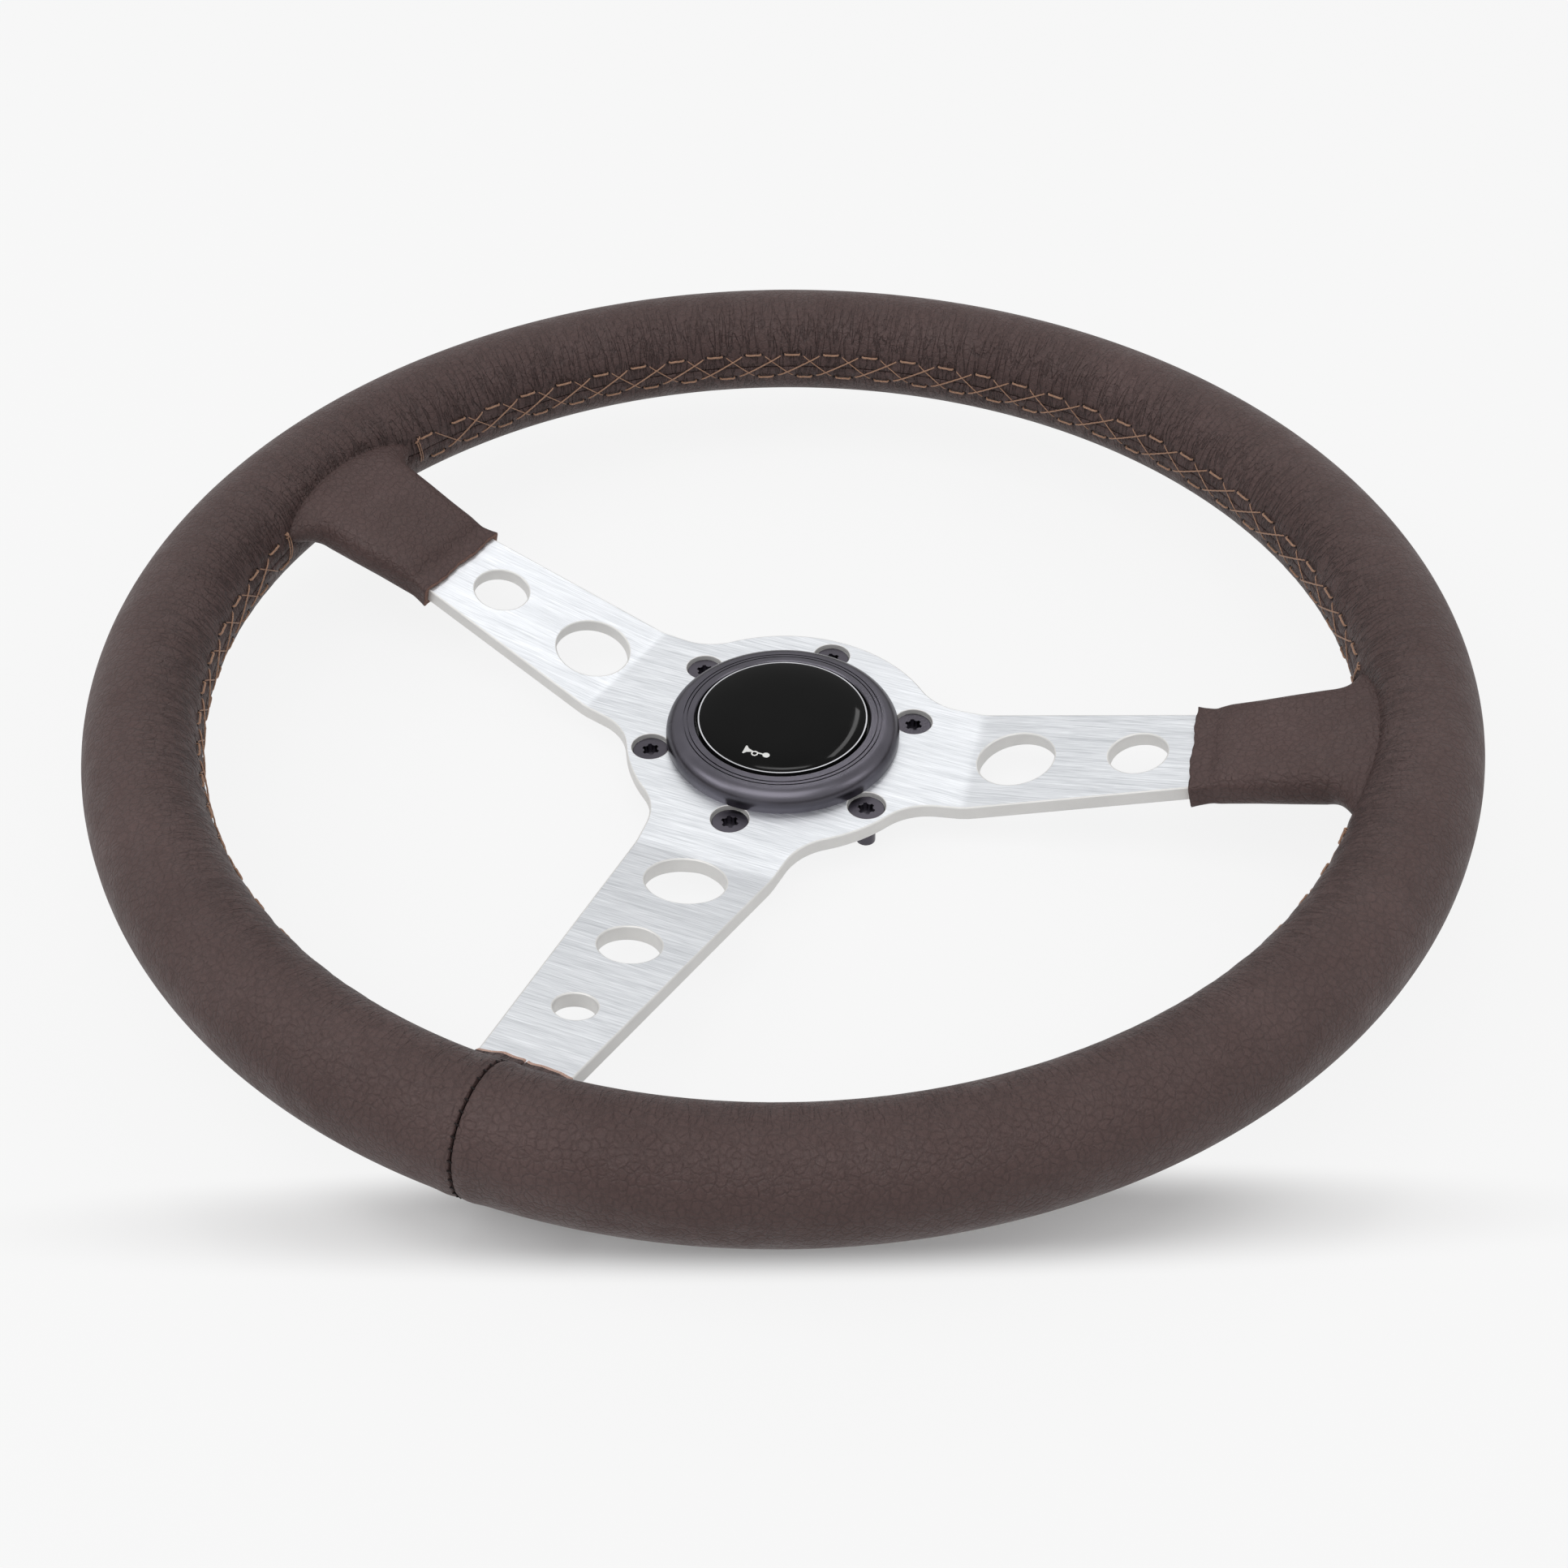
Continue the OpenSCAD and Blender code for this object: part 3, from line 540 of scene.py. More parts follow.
def build_stitches():
    """Cross lacing: a dash over each edge, crossing threads between, and knots."""
    rng = np.random.default_rng(7)
    bundle = Bundle()

    def sew(t0, q0, t1, q1, radius, lift=0.0, **thread):
        bundle.add(*twisted_tube(thread_line(t0, q0, t1, q1, radius, lift), radius, **thread))

    runs = [stitch_angles(run) for run in LACED_RUNS]
    under, over = LOWER_Q + 0.2, UPPER_Q - 0.1
    for starts in runs:
        for k, t in enumerate(starts):
            stray = rng.normal(0, 0.06, 4)
            low = t - LOWER_SHIFT
            sew(t, UPPER_Q, t - DASH_A, UPPER_Q + stray[0], UPPER_R, phase=k)
            sew(low, LOWER_Q, low - DASH_A, LOWER_Q + stray[1], LOWER_R, phase=2 * k)
            if k + 1 < len(starts):
                to = starts[k + 1] - LOWER_SHIFT + HOLE_GAP
                sew(t - DASH_A - HOLE_GAP, over, to, under, BACK_R, 0.1, twist=1.8, sides=8)
            if k + 2 < len(starts):
                to = starts[k + 2] + HOLE_GAP
                sew(low - DASH_A - HOLE_GAP, under, to, over, CROSS_R, 0.3, twist=2.0, sides=10)
    for starts in runs:
        for t, side in ((starts[0], 1), (starts[-1] - DASH_A - LOWER_SHIFT, -1)):
            for k, off in enumerate((0.25, 0.55)):
                to = t + side * (off - 0.4)
                sew(t + side * off, UPPER_Q + 0.3, to, LOWER_Q - 0.2, END_R, 0.3 + 0.2 * k)
            for _ in range(3):
                a = rng.uniform(-0.35, 0.35, 2)
                to = t + side * 0.4 - a[0]
                sew(t + side * 0.2 + a[0], UPPER_Q + 0.7 + a[1], to, UPPER_Q - 0.6, KNOT_R, 0.3)
    stitches = bundle.build("rim_stitching", THREAD)


def dot(centre, normal, radius, height, turns=9, rings=3):
    """A low round bead on a surface."""
    normal = normal / np.linalg.norm(normal)
    side = np.cross(normal, [0.0, 0.0, 1.0])
    side /= np.linalg.norm(side)
    other = np.cross(normal, side)
    verts = []
    for lat in np.arange(rings) * np.pi / 2 / rings:
        for a in np.arange(turns) * 2 * np.pi / turns:
            across = side * math.cos(a) + other * math.sin(a)
            verts.append(centre + across * radius * math.cos(lat) + normal * height * math.sin(lat))
    verts.append(centre + normal * height)
    faces = grid_faces(rings, turns, close_columns=True)
    last = (rings - 1) * turns
    faces += [(last + k, last + (k + 1) % turns, last + turns) for k in range(turns)]
    faces.append(tuple(reversed(range(turns))))
    return np.array(verts), faces


def build_needle_hole_shade():
    """Near-black beads deep in the needle holes of the lacing, as painted shade in the holes."""
    bundle = Bundle()
    for run in LACED_RUNS:
        for t in stitch_angles(run):
            for shift, q in ((0.0, UPPER_Q), (LOWER_SHIFT, LOWER_Q)):
                for hole in (t - shift + HOLE_GAP / 2, t - shift - DASH_A - HOLE_GAP / 2):
                    # a near-black bead in each hole, as painted shade
                    centre, above = on_rim(hole, q, -0.34), on_rim(hole, q, 0.0)
                    bundle.add(*dot(centre, above - centre, 0.34, 0.30))
    holes = bundle.build("needle_hole_shade", SEAM_THREAD_AND_HOLE_SHADE)


def build_seam_thread():
    """Dark thread that shows in the butt seam at six o'clock."""
    bundle = Bundle()
    for q in np.arange(6.5, GIRTH - 8.0, 2.7):
        line = thread_line(270.0 - 0.16, q - 0.12, 270.0 + 0.16, q + 0.12, 0.2, lift=-0.28, sink=0.35)
        bundle.add(*twisted_tube(line, 0.2, twist=1.6, sides=8, step=0.12))
    seam = bundle.build("seam_thread", SEAM_THREAD_AND_HOLE_SHADE)


# ---- rim leather

# Where the leather lies on the lower spoke, as distances out from and above
# the middle of the grip: shoulder, two handles and cut edge of each curve
LIP_OVER = ((-12.30, 7.90), (-14.30, 4.40), (-16.20, 2.15), (-18.30, 1.35))
LIP_UNDER = ((-12.30, -7.90), (-13.90, -5.30), (-16.10, -4.15), (-18.30, -4.55))
LIP_SHOULDER_Q = GRIP_FLAT + GRIP_R * math.radians(30.0)
LIP_EDGE_T = 0.75
LIP_BEVEL = 1.1
COLUMN_STEP = 0.39
DIMPLE, DIMPLE_W = 0.34, 0.8
BUTT_SEAM = 270.0


def wrapped(angle):
    """An angle brought to -180..180."""
    return (angle + 180.0) % 360.0 - 180.0


def rim_columns():
    """Polar angles of the leather's columns, closer at the butt seam."""
    seam = np.array([0.045, 0.07, 0.10, 0.14, 0.20, 0.30, 0.45, 0.68])
    coarse = np.arange(1.0, 359.2, COLUMN_STEP)
    return BUTT_SEAM + np.concatenate([seam, coarse, 360.0 - seam[::-1]])


def rim_rows():
    """Section lengths of the leather's rows, from the slit's upper edge round
    to its lower edge, and how far each row lies under the surface."""
    lip = [(0.0, 1.2), (0.0, 0.5), (0.03, 0.22), (0.12, 0.07), (0.3, 0.01)]
    near = [0.8, 1.2, 1.6, 2.0, 2.5, 3.0, 3.5, 3.9, 4.3, 4.8, 5.4, 6.1, 7.0]
    far = list(np.arange(8.0, GIRTH / 2, 1.15))
    span = GIRTH - SLIT_W
    up = lip + [(q, 0.0) for q in near + far if q < span / 2]
    rows = np.array(up + [(span - q, d) for q, d in reversed(up)])
    return rows[:, 0] + SLIT_Q + SLIT_W / 2, rows[:, 1]


def bezier(a, b, c, d, t):
    """Points at the shares t of a cubic curve with four control points."""
    t = t[:, None]
    return a * (1 - t) ** 3 + 3 * b * t * (1 - t) ** 2 + 3 * c * t ** 2 * (1 - t) + d * t ** 3


def lay_on_spoke(points, theta, q, depth):
    """Draws the slit's two edges apart at six o'clock, over and under the
    lower spoke. Returns which columns lie on the spoke."""
    x = (RIM_R - GRIP_R) * np.sin(np.radians(theta - BUTT_SEAM))
    near = np.abs(wrapped(theta - BUTT_SEAM)) < 20.0
    aside = np.abs(x)
    shape = (1 - smooth(aside, 11.8, 18.5)) * near
    part = (1 - smooth(aside, 11.7, 13.4)) * near
    # the cut edge wanders, dips at the seam and drops back beside the spoke
    wave = 0.22 * np.sin(x * 0.42 + 0.8) + 0.10 * np.sin(x * 1.3 - 0.5)
    wave += 1.1 * smooth(aside, 5.0, 11.5) - 0.3 * bump_at(x, 1.2)
    groove = 0.85 * bump_at(x, 0.27) - 0.2 * bump_at(aside - 2.6, 2.2)
    n_q = len(q)
    for curve, sign in ((LIP_OVER, 1), (LIP_UNDER, -1)):
        if sign > 0:
            rows = [j for j in range(n_q // 2) if q[j] < LIP_SHOULDER_Q]
            share = (LIP_SHOULDER_Q - q[rows]) / (LIP_SHOULDER_Q - q[0])
        else:
            shoulder = GIRTH - LIP_SHOULDER_Q + GRIP_FLAT
            rows = [j for j in range(n_q // 2, n_q) if q[j] > shoulder]
            share = (q[rows] - shoulder) / (q[-1] - shoulder)
        a, b, c, d = (np.array(k) for k in curve)
        slit = np.array([-GRIP_R, -SLIT_DROP + sign * SLIT_W / 2])
        for i in np.nonzero(shape > 0)[0]:
            w, g = shape[i], part[i]
            edge = slit + np.array([w * (d[0] + wave[i] - slit[0]), g * (d[1] - slit[1])])
            hand = edge + g * (c - d) + (1 - g) * np.array([0.0, sign * 2.0])
            for j, (u, v) in zip(rows, bezier(a, b, hand, edge, share)):
                drop = min(depth[j], LIP_EDGE_T) * g
                # the hide is pared, so its cut edge slopes down to the spoke
                u += depth[j] * (1 - g) - LIP_BEVEL * g * drop / LIP_EDGE_T
                v -= sign * (drop + groove[i])
                target = np.array([*polar(RIM_R + u, theta[i]), RIM_Z + v])
                mix = min(1.0, w * 3.0)
                points[i, j] = points[i, j] * (1 - mix) + target * mix
    return part > 0.5


def build_rim():
    """The leather: the grip's surface with its lacing, creases and seam pressed in."""
    theta = rim_columns()
    q, depth = rim_rows()
    n_t, n_q = len(theta), len(q)
    tt, qq = np.meshgrid(theta, q, indexing="ij")
    out = -np.broadcast_to(depth, (n_t, n_q)).copy()
    turn = np.where(tt > 360.0, tt - 360.0, tt)
    upper = qq - SLIT_Q < GIRTH / 2
    # length from the slit, on whichever side is nearer
    from_slit = np.minimum(np.abs(qq - SLIT_Q), np.abs(GIRTH + SLIT_Q - qq))
    # the lips stand a little proud of the laced channel
    t = turn[:, 0]
    laced = np.zeros(n_t)
    for first, last in LACED_RUNS:
        here = smooth(t, last - 3.0, last + 1.0) * (1 - smooth(t, first - 1.0, first + 3.0))
        laced = np.maximum(laced, here)
    out -= 0.16 * bump_at(from_slit - 3.9, 1.4) * laced[:, None]
    out += 0.10 * bump_at(from_slit - 1.7, 1.0) * laced[:, None]
    # the leather gathers between the stitches
    for run in LACED_RUNS:
        high, *_, low = stitch_angles(run)
        here = smooth(turn, low - 4.0, low) * (1 - smooth(turn, high - 1.0, high + 2.0))
        middle = high - DASH_A / 2 - np.where(upper, 0.0, LOWER_SHIFT)
        gather = 0.5 - 0.5 * np.cos(np.radians((turn - middle) / STITCH_PITCH * 360.0))
        reach = np.where(upper, bump_at(from_slit - 4.4, 3.6), bump_at(from_slit - 3.4, 3.4))
        out += (0.30 * gather - 0.12) * reach * here
    # needle holes pull small dimples
    for run in LACED_RUNS:
        for t in stitch_angles(run):
            for shift, at, sign in ((0.0, UPPER_Q, 1), (LOWER_SHIFT, LOWER_Q, -1)):
                for hole in (t - shift, t - shift - DASH_A):
                    dt = wrapped(tt - hole)
                    near = np.abs(dt[:, 0]) < 1.9
                    arc = bump_at(np.radians(dt[near]) * (RIM_R - GRIP_R), DIMPLE_W)
                    away = sign * (qq[near] - (at if sign > 0 else GIRTH + at))
                    out[near] -= DIMPLE * arc * bump_at(away, DIMPLE_W)
                    # a crease runs off from each hole, away from the lacing
                    out[near] -= 0.11 * arc * bump_at(away - 3.2, 2.8)
    # a deep crease where a sleeve's pad meets the rim
    _, v, nu, _ = section(qq)
    v = v - ROOT_MID_Z
    for angle in SIDE_ANGLES.values():
        aside = (RIM_R - GRIP_R) * np.sin(np.radians(tt - angle))
        spread = (aside / ROOT_HALF) ** 2 + (v / ROOT_TALL) ** 2 - 1
        steep = 2 * np.sqrt((aside / ROOT_HALF ** 2) ** 2 + (v / ROOT_TALL ** 2) ** 2) + 1e-6
        near = (nu < 0) * (np.cos(np.radians(tt - angle)) > 0)
        off = spread / steep
        out -= (0.5 * bump_at(off - 0.3, 1.2) - 0.16 * bump_at(off - 3.0, 1.5)) * near
    # six o'clock butt seam
    x = RIM_OUT_R * np.radians(wrapped(tt - BUTT_SEAM))
    out += 0.26 * bump_at(np.abs(x) - 2.6, 2.2) - 0.10 * bump_at(x, 1.2) - 0.95 * bump_at(x, 0.27)
    points = on_rim(tt, qq, out)
    over_spoke = lay_on_spoke(points, theta, q, depth)
    uv = np.stack([np.radians(tt) * RIM_R, qq], axis=-1) * MM
    cut = depth > 0.05
    spots = np.outer(over_spoke[:-1], cut[:-1] & cut[1:]).ravel()
    rim = make_object("rim_cover", points.reshape(-1, 3), grid_faces(n_t, n_q), [LEATHER, RAW_EDGE],
                      uvs=uv.reshape(-1, 2), spots=spots)
    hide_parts("rim_leather")


# ---- spoke plate

def fillet_point(angle, side, radius=HUB_FILLET_R):
    """Centre of a hub fillet beside a spoke, or with radius 0 its end on the spoke."""
    taper_a = math.atan(TAPER)
    off = HALF_W0 * math.cos(taper_a)
    reach = math.sqrt((HUB_R + HUB_FILLET_R) ** 2 - (off + HUB_FILLET_R) ** 2)
    off += radius
    turn = math.radians(angle) - side * taper_a
    c, s = math.cos(turn), math.sin(turn)
    return np.array([reach * c - side * off * s, reach * s + side * off * c])


def arc_points(centre, radius, start, end, step):
    """Points on an arc from one direction to another, the short way."""
    turn = wrapped(end - start)
    n = max(2, int(abs(turn) * math.pi / 180 * radius / step) + 1)
    return [centre + polar(radius, start + turn * i / n) for i in range(n + 1)]


def heading(p):
    return math.degrees(math.atan2(p[1], p[0]))


def flat_length(d):
    """Length along a spoke's flat pattern at a distance from the axis."""
    slope_from = BEND_START + BEND_R * math.sin(SLOPE)
    if d <= BEND_START:
        return d
    if d >= slope_from:
        return BEND_END + (d - slope_from) / math.cos(SLOPE)
    return BEND_START + 2 * BEND_IN * math.asin((d - BEND_START) / BEND_R) / SLOPE


def plate_loop():
    """The plate's outline in its flat pattern, anticlockwise."""
    points = []
    order = sorted(SPOKE_ANGLES)
    for i, angle in enumerate(order):
        # into the spoke by its right-hand fillet, out by its left-hand one
        for side in (-1, 1):
            along, across = polar(1, angle), polar(1, angle + 90)
            centre, end = fillet_point(angle, side), fillet_point(angle, side, 0.0)
            arc = arc_points(centre, HUB_FILLET_R, heading(-centre), heading(end - centre), 0.8)
            places = [(float(p @ along), float(p @ across)) for p in arc]
            distances = [*np.arange(float(end @ along) + 1.5, SPOKE_TIP_R, 1.5), SPOKE_TIP_R]
            places += [(d, side * half_w(d)) for d in distances]
            part = [along * flat_length(d) + across * w for d, w in places]
            points += part if side < 0 else part[::-1]
        a = heading(fillet_point(angle, 1))
        b = heading(fillet_point(order[(i + 1) % len(order)], -1))
        if (b - a) % 360 > 1:
            points += arc_points(np.zeros(2), HUB_R, a, b, 1.2)[1:-1]
    return np.array(points)


def ring_loop(centre, radius, step=0.7):
    n = max(32, int(2 * math.pi * radius / step))
    return np.array([centre + polar(radius, -360.0 * i / n) for i in range(n)])


def offset_loop(loop, amount):
    """Moves a loop's points sideways, to the left of its direction."""
    before, after = np.roll(loop, 1, axis=0), np.roll(loop, -1, axis=0)
    t = after - before
    t /= np.linalg.norm(t, axis=1)[:, None]
    return loop + np.stack([-t[:, 1], t[:, 0]], axis=1) * amount


def bent(flat_x, flat_y, z):
    """Takes a point of the flat pattern at height z to the bent plate."""
    for angle in SPOKE_ANGLES:
        along, across = polar(1, angle), polar(1, angle + 90)
        s = flat_x * along[0] + flat_y * along[1]
        w = flat_x * across[0] + flat_y * across[1]
        if s > BEND_START and abs(w) < 26.0:
            a = min((s - BEND_START) / (2 * BEND_IN), 1.0) * SLOPE
            rest = max(s - BEND_START - 2 * BEND_IN, 0.0)
            centre_z = PLATE_T + BEND_R
            reach = centre_z - z
            x = BEND_START + reach * math.sin(a) + rest * math.cos(a)
            up = centre_z - reach * math.cos(a) + rest * math.sin(a)
            return (*(along * x + across * w), up)
    return (flat_x, flat_y, z)


def build_plate():
    """The plate: broken edges round its loops, flat faces between them, then the bends."""
    outline = plate_loop()
    keep = [0]
    for i in range(1, len(outline)):
        if np.linalg.norm(outline[i] - outline[keep[-1]]) > 0.05:
            keep.append(i)
    outline = outline[keep]
    circles = [(np.zeros(2), HUB_BORE_R, False)]
    for angle, holes in HOLES.items():
        circles += [(polar(at, angle), d / 2, False) for at, d in holes]
    circles += [(polar(SCREW_CIRCLE_R, 30.0 + 60.0 * i), SCREW_SEAT_R, True) for i in range(6)]
    verts, faces, spots = [], [], []

    def add_ring(points, z):
        base = len(verts)
        verts.extend((float(p[0]), float(p[1]), z) for p in points)
        return list(range(base, base + len(points)))

    def wall(upper, lower):
        n = len(upper)
        for i in range(n):
            j = (i + 1) % n
            faces.append((upper[i], lower[i], lower[j], upper[j]))
            spots.append(1)

    tops, bottoms = [], []
    for loop, seat in [(outline, False)] + [(ring_loop(c, r), seat) for c, r, seat in circles]:
        e = SEAT_BREAK if seat else EDGE_BREAK
        rounded = [(offset_loop(loop, e * (1 - math.sin(a))), e * (1 - math.cos(a)))
                   for a in (math.radians(30 * k) for k in range(4))]
        levels = [(points, PLATE_T - drop) for points, drop in rounded]
        if seat:
            centre = loop.mean(axis=0)
            thin = centre + (loop - centre) * (SCREW_HOLE_R / SCREW_SEAT_R)
            levels.append((loop, SCREW_SEAT_Z))
            levels.append((thin, SCREW_SEAT_Z - (SCREW_SEAT_R - SCREW_HOLE_R)))
            levels.append((thin, 0.0))
        else:
            levels += rounded[::-1]
        rings = [add_ring(points, z) for points, z in levels]
        for upper, lower in zip(rings, rings[1:]):
            wall(upper, lower)
        tops.append((rings[0], levels[0][0]))
        bottoms.append((rings[-1], levels[-1][0]))

    # cross lines over each bend, so that the faces can bend there
    crosses = []
    for angle in SPOKE_ANGLES:
        along, across = polar(1, angle), polar(1, angle + 90)
        for s in np.linspace(BEND_START - 0.2, BEND_END + 0.2, 7):
            hole_at, hole_d = HOLES[angle][0]
            w = half_w(s) - 1.2
            row = [along * s + across * x for x in np.linspace(-w, w, 19)]
            crosses.append([p for p in row if np.linalg.norm(p - along * hole_at) > hole_d / 2 + 0.8])

    for rings, z, flip in ((tops, PLATE_T, False), (bottoms, 0.0, True)):
        coords, index, edges = [], [], []
        for ids, loop in rings:
            base = len(coords)
            coords += [Vector(p) for p in loop]
            index += ids
            edges += [(base + i, base + (i + 1) % len(loop)) for i in range(len(loop))]
        for row in crosses:
            coords += [Vector(p) for p in row]
            index += add_ring(row, z)
        out_v, _, out_f, orig_v, _, _ = delaunay_2d_cdt(coords, edges, [], 1, 1e-6)
        centres = [loop.mean(axis=0) for _, loop in rings[1:]]
        bores = [(c, np.linalg.norm(loop[0] - c)) for c, (_, loop) in zip(centres, rings[1:])]
        for f in out_f:
            ids = [index[orig_v[i][0]] for i in f]
            c = sum((np.array(out_v[i]) for i in f), np.zeros(2)) / len(f)
            if any(np.linalg.norm(c - centre) < radius - 1e-3 for centre, radius in bores):
                continue
            faces.append(tuple(reversed(ids)) if flip else tuple(ids))
            spots.append(0)
    placed = [bent(*v) for v in verts]
    plate = make_object("brushed_plate", placed, faces, [BRUSHED, PLATE_EDGE], spots=spots)
    turn_outwards(plate.data)
    plate.data.set_sharp_from_angle(angle=math.radians(12))
    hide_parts("spoke_plate")


# ---- sleeves

SLEEVE_START = 105.9
SLEEVE_END = 138.0
EAR = 0.6
SLEEVE_COLUMNS = 96
ROOT_STEPS = 10
# The sleeve's root on the rim: an ellipse this high round this height, and half as wide
ROOT_TALL, ROOT_MID_Z, ROOT_HALF = 6.65, 1.25, 25.5


def spoke_point(angle, x, y, z):
    """Point from a spoke's sloping face: x along from its bend, z off the face."""
    c, s = math.cos(SLOPE), math.sin(SLOPE)
    out = BEND_D + x * c - z * s
    up = PLATE_T + x * s + z * c
    return np.array([*(polar(out, angle) + polar(y, angle + 90)), up])


def rounded_section(w, top, back, r):
    """Points (across, up) round a rectangle with rounded corners, from its top
    middle and evenly spaced, so that sections of different shapes match."""
    corners = [(w - r, top - r, 90, 0), (w - r, -back + r, 0, -90),
               (-w + r, -back + r, -90, -180), (-w + r, top - r, 180, 90)]
    line = [(0.0, top)]
    for y, z, a0, a1 in corners:
        for k in range(9):
            a = math.radians(a0 + (a1 - a0) * k / 8)
            line.append((y + r * math.cos(a), z + r * math.sin(a)))
    line.append((0.0, top))
    line = np.array(line)
    run = np.concatenate([[0.0], np.cumsum(np.linalg.norm(np.diff(line, axis=0), axis=1))])
    at = np.linspace(0, 1, SLEEVE_COLUMNS, endpoint=False) * run[-1]
    return np.interp(at, run, line[:, 0]), np.interp(at, run, line[:, 1])


def sleeve_profile(d):
    """Half width, height over the face, depth behind the back, corner radius."""
    start = SLEEVE_START
    skin = LEATHER_T + 0.12
    knots = [*(start + d for d in (0.0, 1.5, 4.4, 5.2, 6.9, 8.8)), 122.0, 130.0, SLEEVE_END]
    w = [half_w(start) + skin + EAR, half_w(start) + skin + 0.2, half_w(start + 4.4) + skin,
         half_w(start + 5.2) + skin + 0.1, 15.4, 15.9, 16.7, 17.6, 18.3]
    top = [skin + 0.1, skin, skin, skin + 0.25, 2.7, 3.4, 4.0, 4.6, 5.1]
    back = [skin, skin, skin, skin + 0.1, 2.2, 2.5, 2.6, 2.6, 2.6]
    r = [0.9, 1.1, 1.2, 1.5, 2.8, 4.0, 4.8, 5.1, 5.2]
    return [float(np.interp(d, knots, v)) for v in (w, top, back, r)]


def ripple(y, d):
    """How far the cut edge wanders along the spoke at a place across it."""
    fade = 1 - smooth(d, SLEEVE_START + 1.0, SLEEVE_START + 4.0)
    return fade * (0.22 * math.sin(0.45 * y + 1.0) + 0.09 * math.sin(1.5 * y))


def sleeve_row(angle, d, w, top, back, r):
    """One section of a sleeve at a distance from the axis."""
    across, up = rounded_section(w, top, PLATE_T + back, r)
    return np.array([spoke_point(angle, (d + ripple(y, d) - BEND_D) / math.cos(SLOPE), y, z)
                     for y, z in zip(across, up)])


def sleeve_rows(angle):
    """Sections of a sleeve from its cut edge to inside the rim's leather."""
    rows = []
    for d in [*np.arange(SLEEVE_START, 116.0, 0.5), *np.arange(116.0, SLEEVE_END + 0.01, 1.0)]:
        w, top, back, r = np.mean([sleeve_profile(d + o) for o in (-0.5, 0.0, 0.5)], axis=0)
        rows.append(sleeve_row(angle, d, w, top, back, min(r, w)))
    last = rows[-1]
    # the root: an ellipse on the rim's surface, matched by direction
    w, top, back, r = sleeve_profile(SLEEVE_END)
    y, z = rounded_section(w, top, PLATE_T + back, r)
    mid_z = (top - PLATE_T - back) / 2
    t = np.arctan2((z - mid_z) / ((top + PLATE_T + back) / 2), y / w)
    root = []
    for a in t:
        v = ROOT_MID_Z + ROOT_TALL * math.sin(a)
        inner = max(abs(v) - GRIP_FLAT / 2, 0.0)
        r = RIM_R - math.sqrt(max(GRIP_R ** 2 - inner ** 2, 0.0))
        theta = math.degrees(math.asin(ROOT_HALF * math.cos(a) / r))
        root.append([*polar(r, angle + theta), RIM_Z + v])
    root = np.array(root)
    # the sides flare out slowly and then faster, and the top rises early
    outward, lateral = (np.array([*polar(1, a), 0.0]) for a in (angle, angle + 90))
    for k in range(1, ROOT_STEPS + 1):
        s = k / ROOT_STEPS
        p = last + (root - last) * s
        y0, y1 = last @ lateral, root @ lateral
        p = p + np.outer(y0 + (y1 - y0) * s ** 1.9 - p @ lateral, lateral)
        rise = np.where(t > 0, 1.25 * s - 0.25 * s * s, s)
        p[:, 2] = last[:, 2] + (root[:, 2] - last[:, 2]) * rise
        rows.append(p)
    return rows + [root + outward * 2.0]


def build_sleeve(node, angle):
    """A leather sleeve over a side spoke's pad, flared out onto the rim."""
    skin = LEATHER_T + 0.08
    w, top, back, r = sleeve_profile(SLEEVE_START)
    # the cut edge, turned in to the spoke
    inner = []
    for inset, on in ((skin, 3.0), (skin, 0.0), (skin * 0.5, -0.05)):
        inner.append(sleeve_row(angle, SLEEVE_START + on, w - inset - EAR * inset / skin,
                                top - inset, back - inset, max(r - inset, 0.15)))
    grid = np.array(inner + sleeve_rows(angle))
    faces = grid_faces(len(grid), SLEEVE_COLUMNS, close_columns=True)
    spots = [int(i < len(inner) * SLEEVE_COLUMNS) for i in range(len(faces))]
    sleeve = make_object(f"{node}_cover", grid.reshape(-1, 3), faces,
                         [SLEEVE_LEATHER, SLEEVE_EDGE], spots=spots)
    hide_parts(node)


# ---- horn push

DOME_R = 21.75
DOME_LOW_Z = 9.7
DOME_EDGE_H = 0.6
DOME_H = 1.3
DOME_EDGE_POWER = 5.0


def dome_z(r):
    """Height of the clear dome: flat in the middle, rounded off to its edge."""
    return DOME_LOW_Z + DOME_H - (DOME_H - DOME_EDGE_H) * (r / DOME_R) ** DOME_EDGE_POWER


def build_dome():
    rings = [0.02, 4.0, 8.0, 11.0, 13.5, 15.5, 17.0, 18.2, 19.2, 20.0, 20.6, 21.1, 21.45]
    profile = [(r, float(dome_z(r))) for r in rings]
    edge = profile[-1][1]
    profile += [(21.65, edge - 0.08), (DOME_R, edge - 0.25), (DOME_R, DOME_LOW_Z), (0.02, DOME_LOW_Z)]
    turns = 120
    verts = [(*polar(r, 360.0 * k / turns), z) for r, z in profile for k in range(turns)]
    dome = make_object("domed_label", verts, capped_faces(len(profile), turns), DOME_GLOSS, body=BUTTON)
    turn_outwards(dome.data)
    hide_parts("horn_dome")


def horn_outlines():
    """Closed outlines of a plain motor-horn sign: bell, tube, bulb and the link
    between. The tube's loop is added in build_horn_sign."""
    bell = [(-3.7, 1.45), (-3.35, 1.5), (-2.7, 0.75), (-1.6, 0.32), (-1.2, 0.25),
            (-1.2, -0.2), (-1.7, -0.28), (-2.8, -0.7), (-3.3, -1.4), (-3.7, -1.35)]
    tube = [(0.1, 0.24), (1.6, 0.22), (1.6, -0.2), (0.1, -0.18)]
    bulb = [tuple(np.array([2.45, 0.0]) + polar(1, 360.0 * k / 28) * (0.95, 0.85)) for k in range(28)]
    link = [(-1.3, 0.24), (0.2, 0.24), (0.2, 0.0), (-1.3, 0.0)]
    return bell, tube, bulb, link


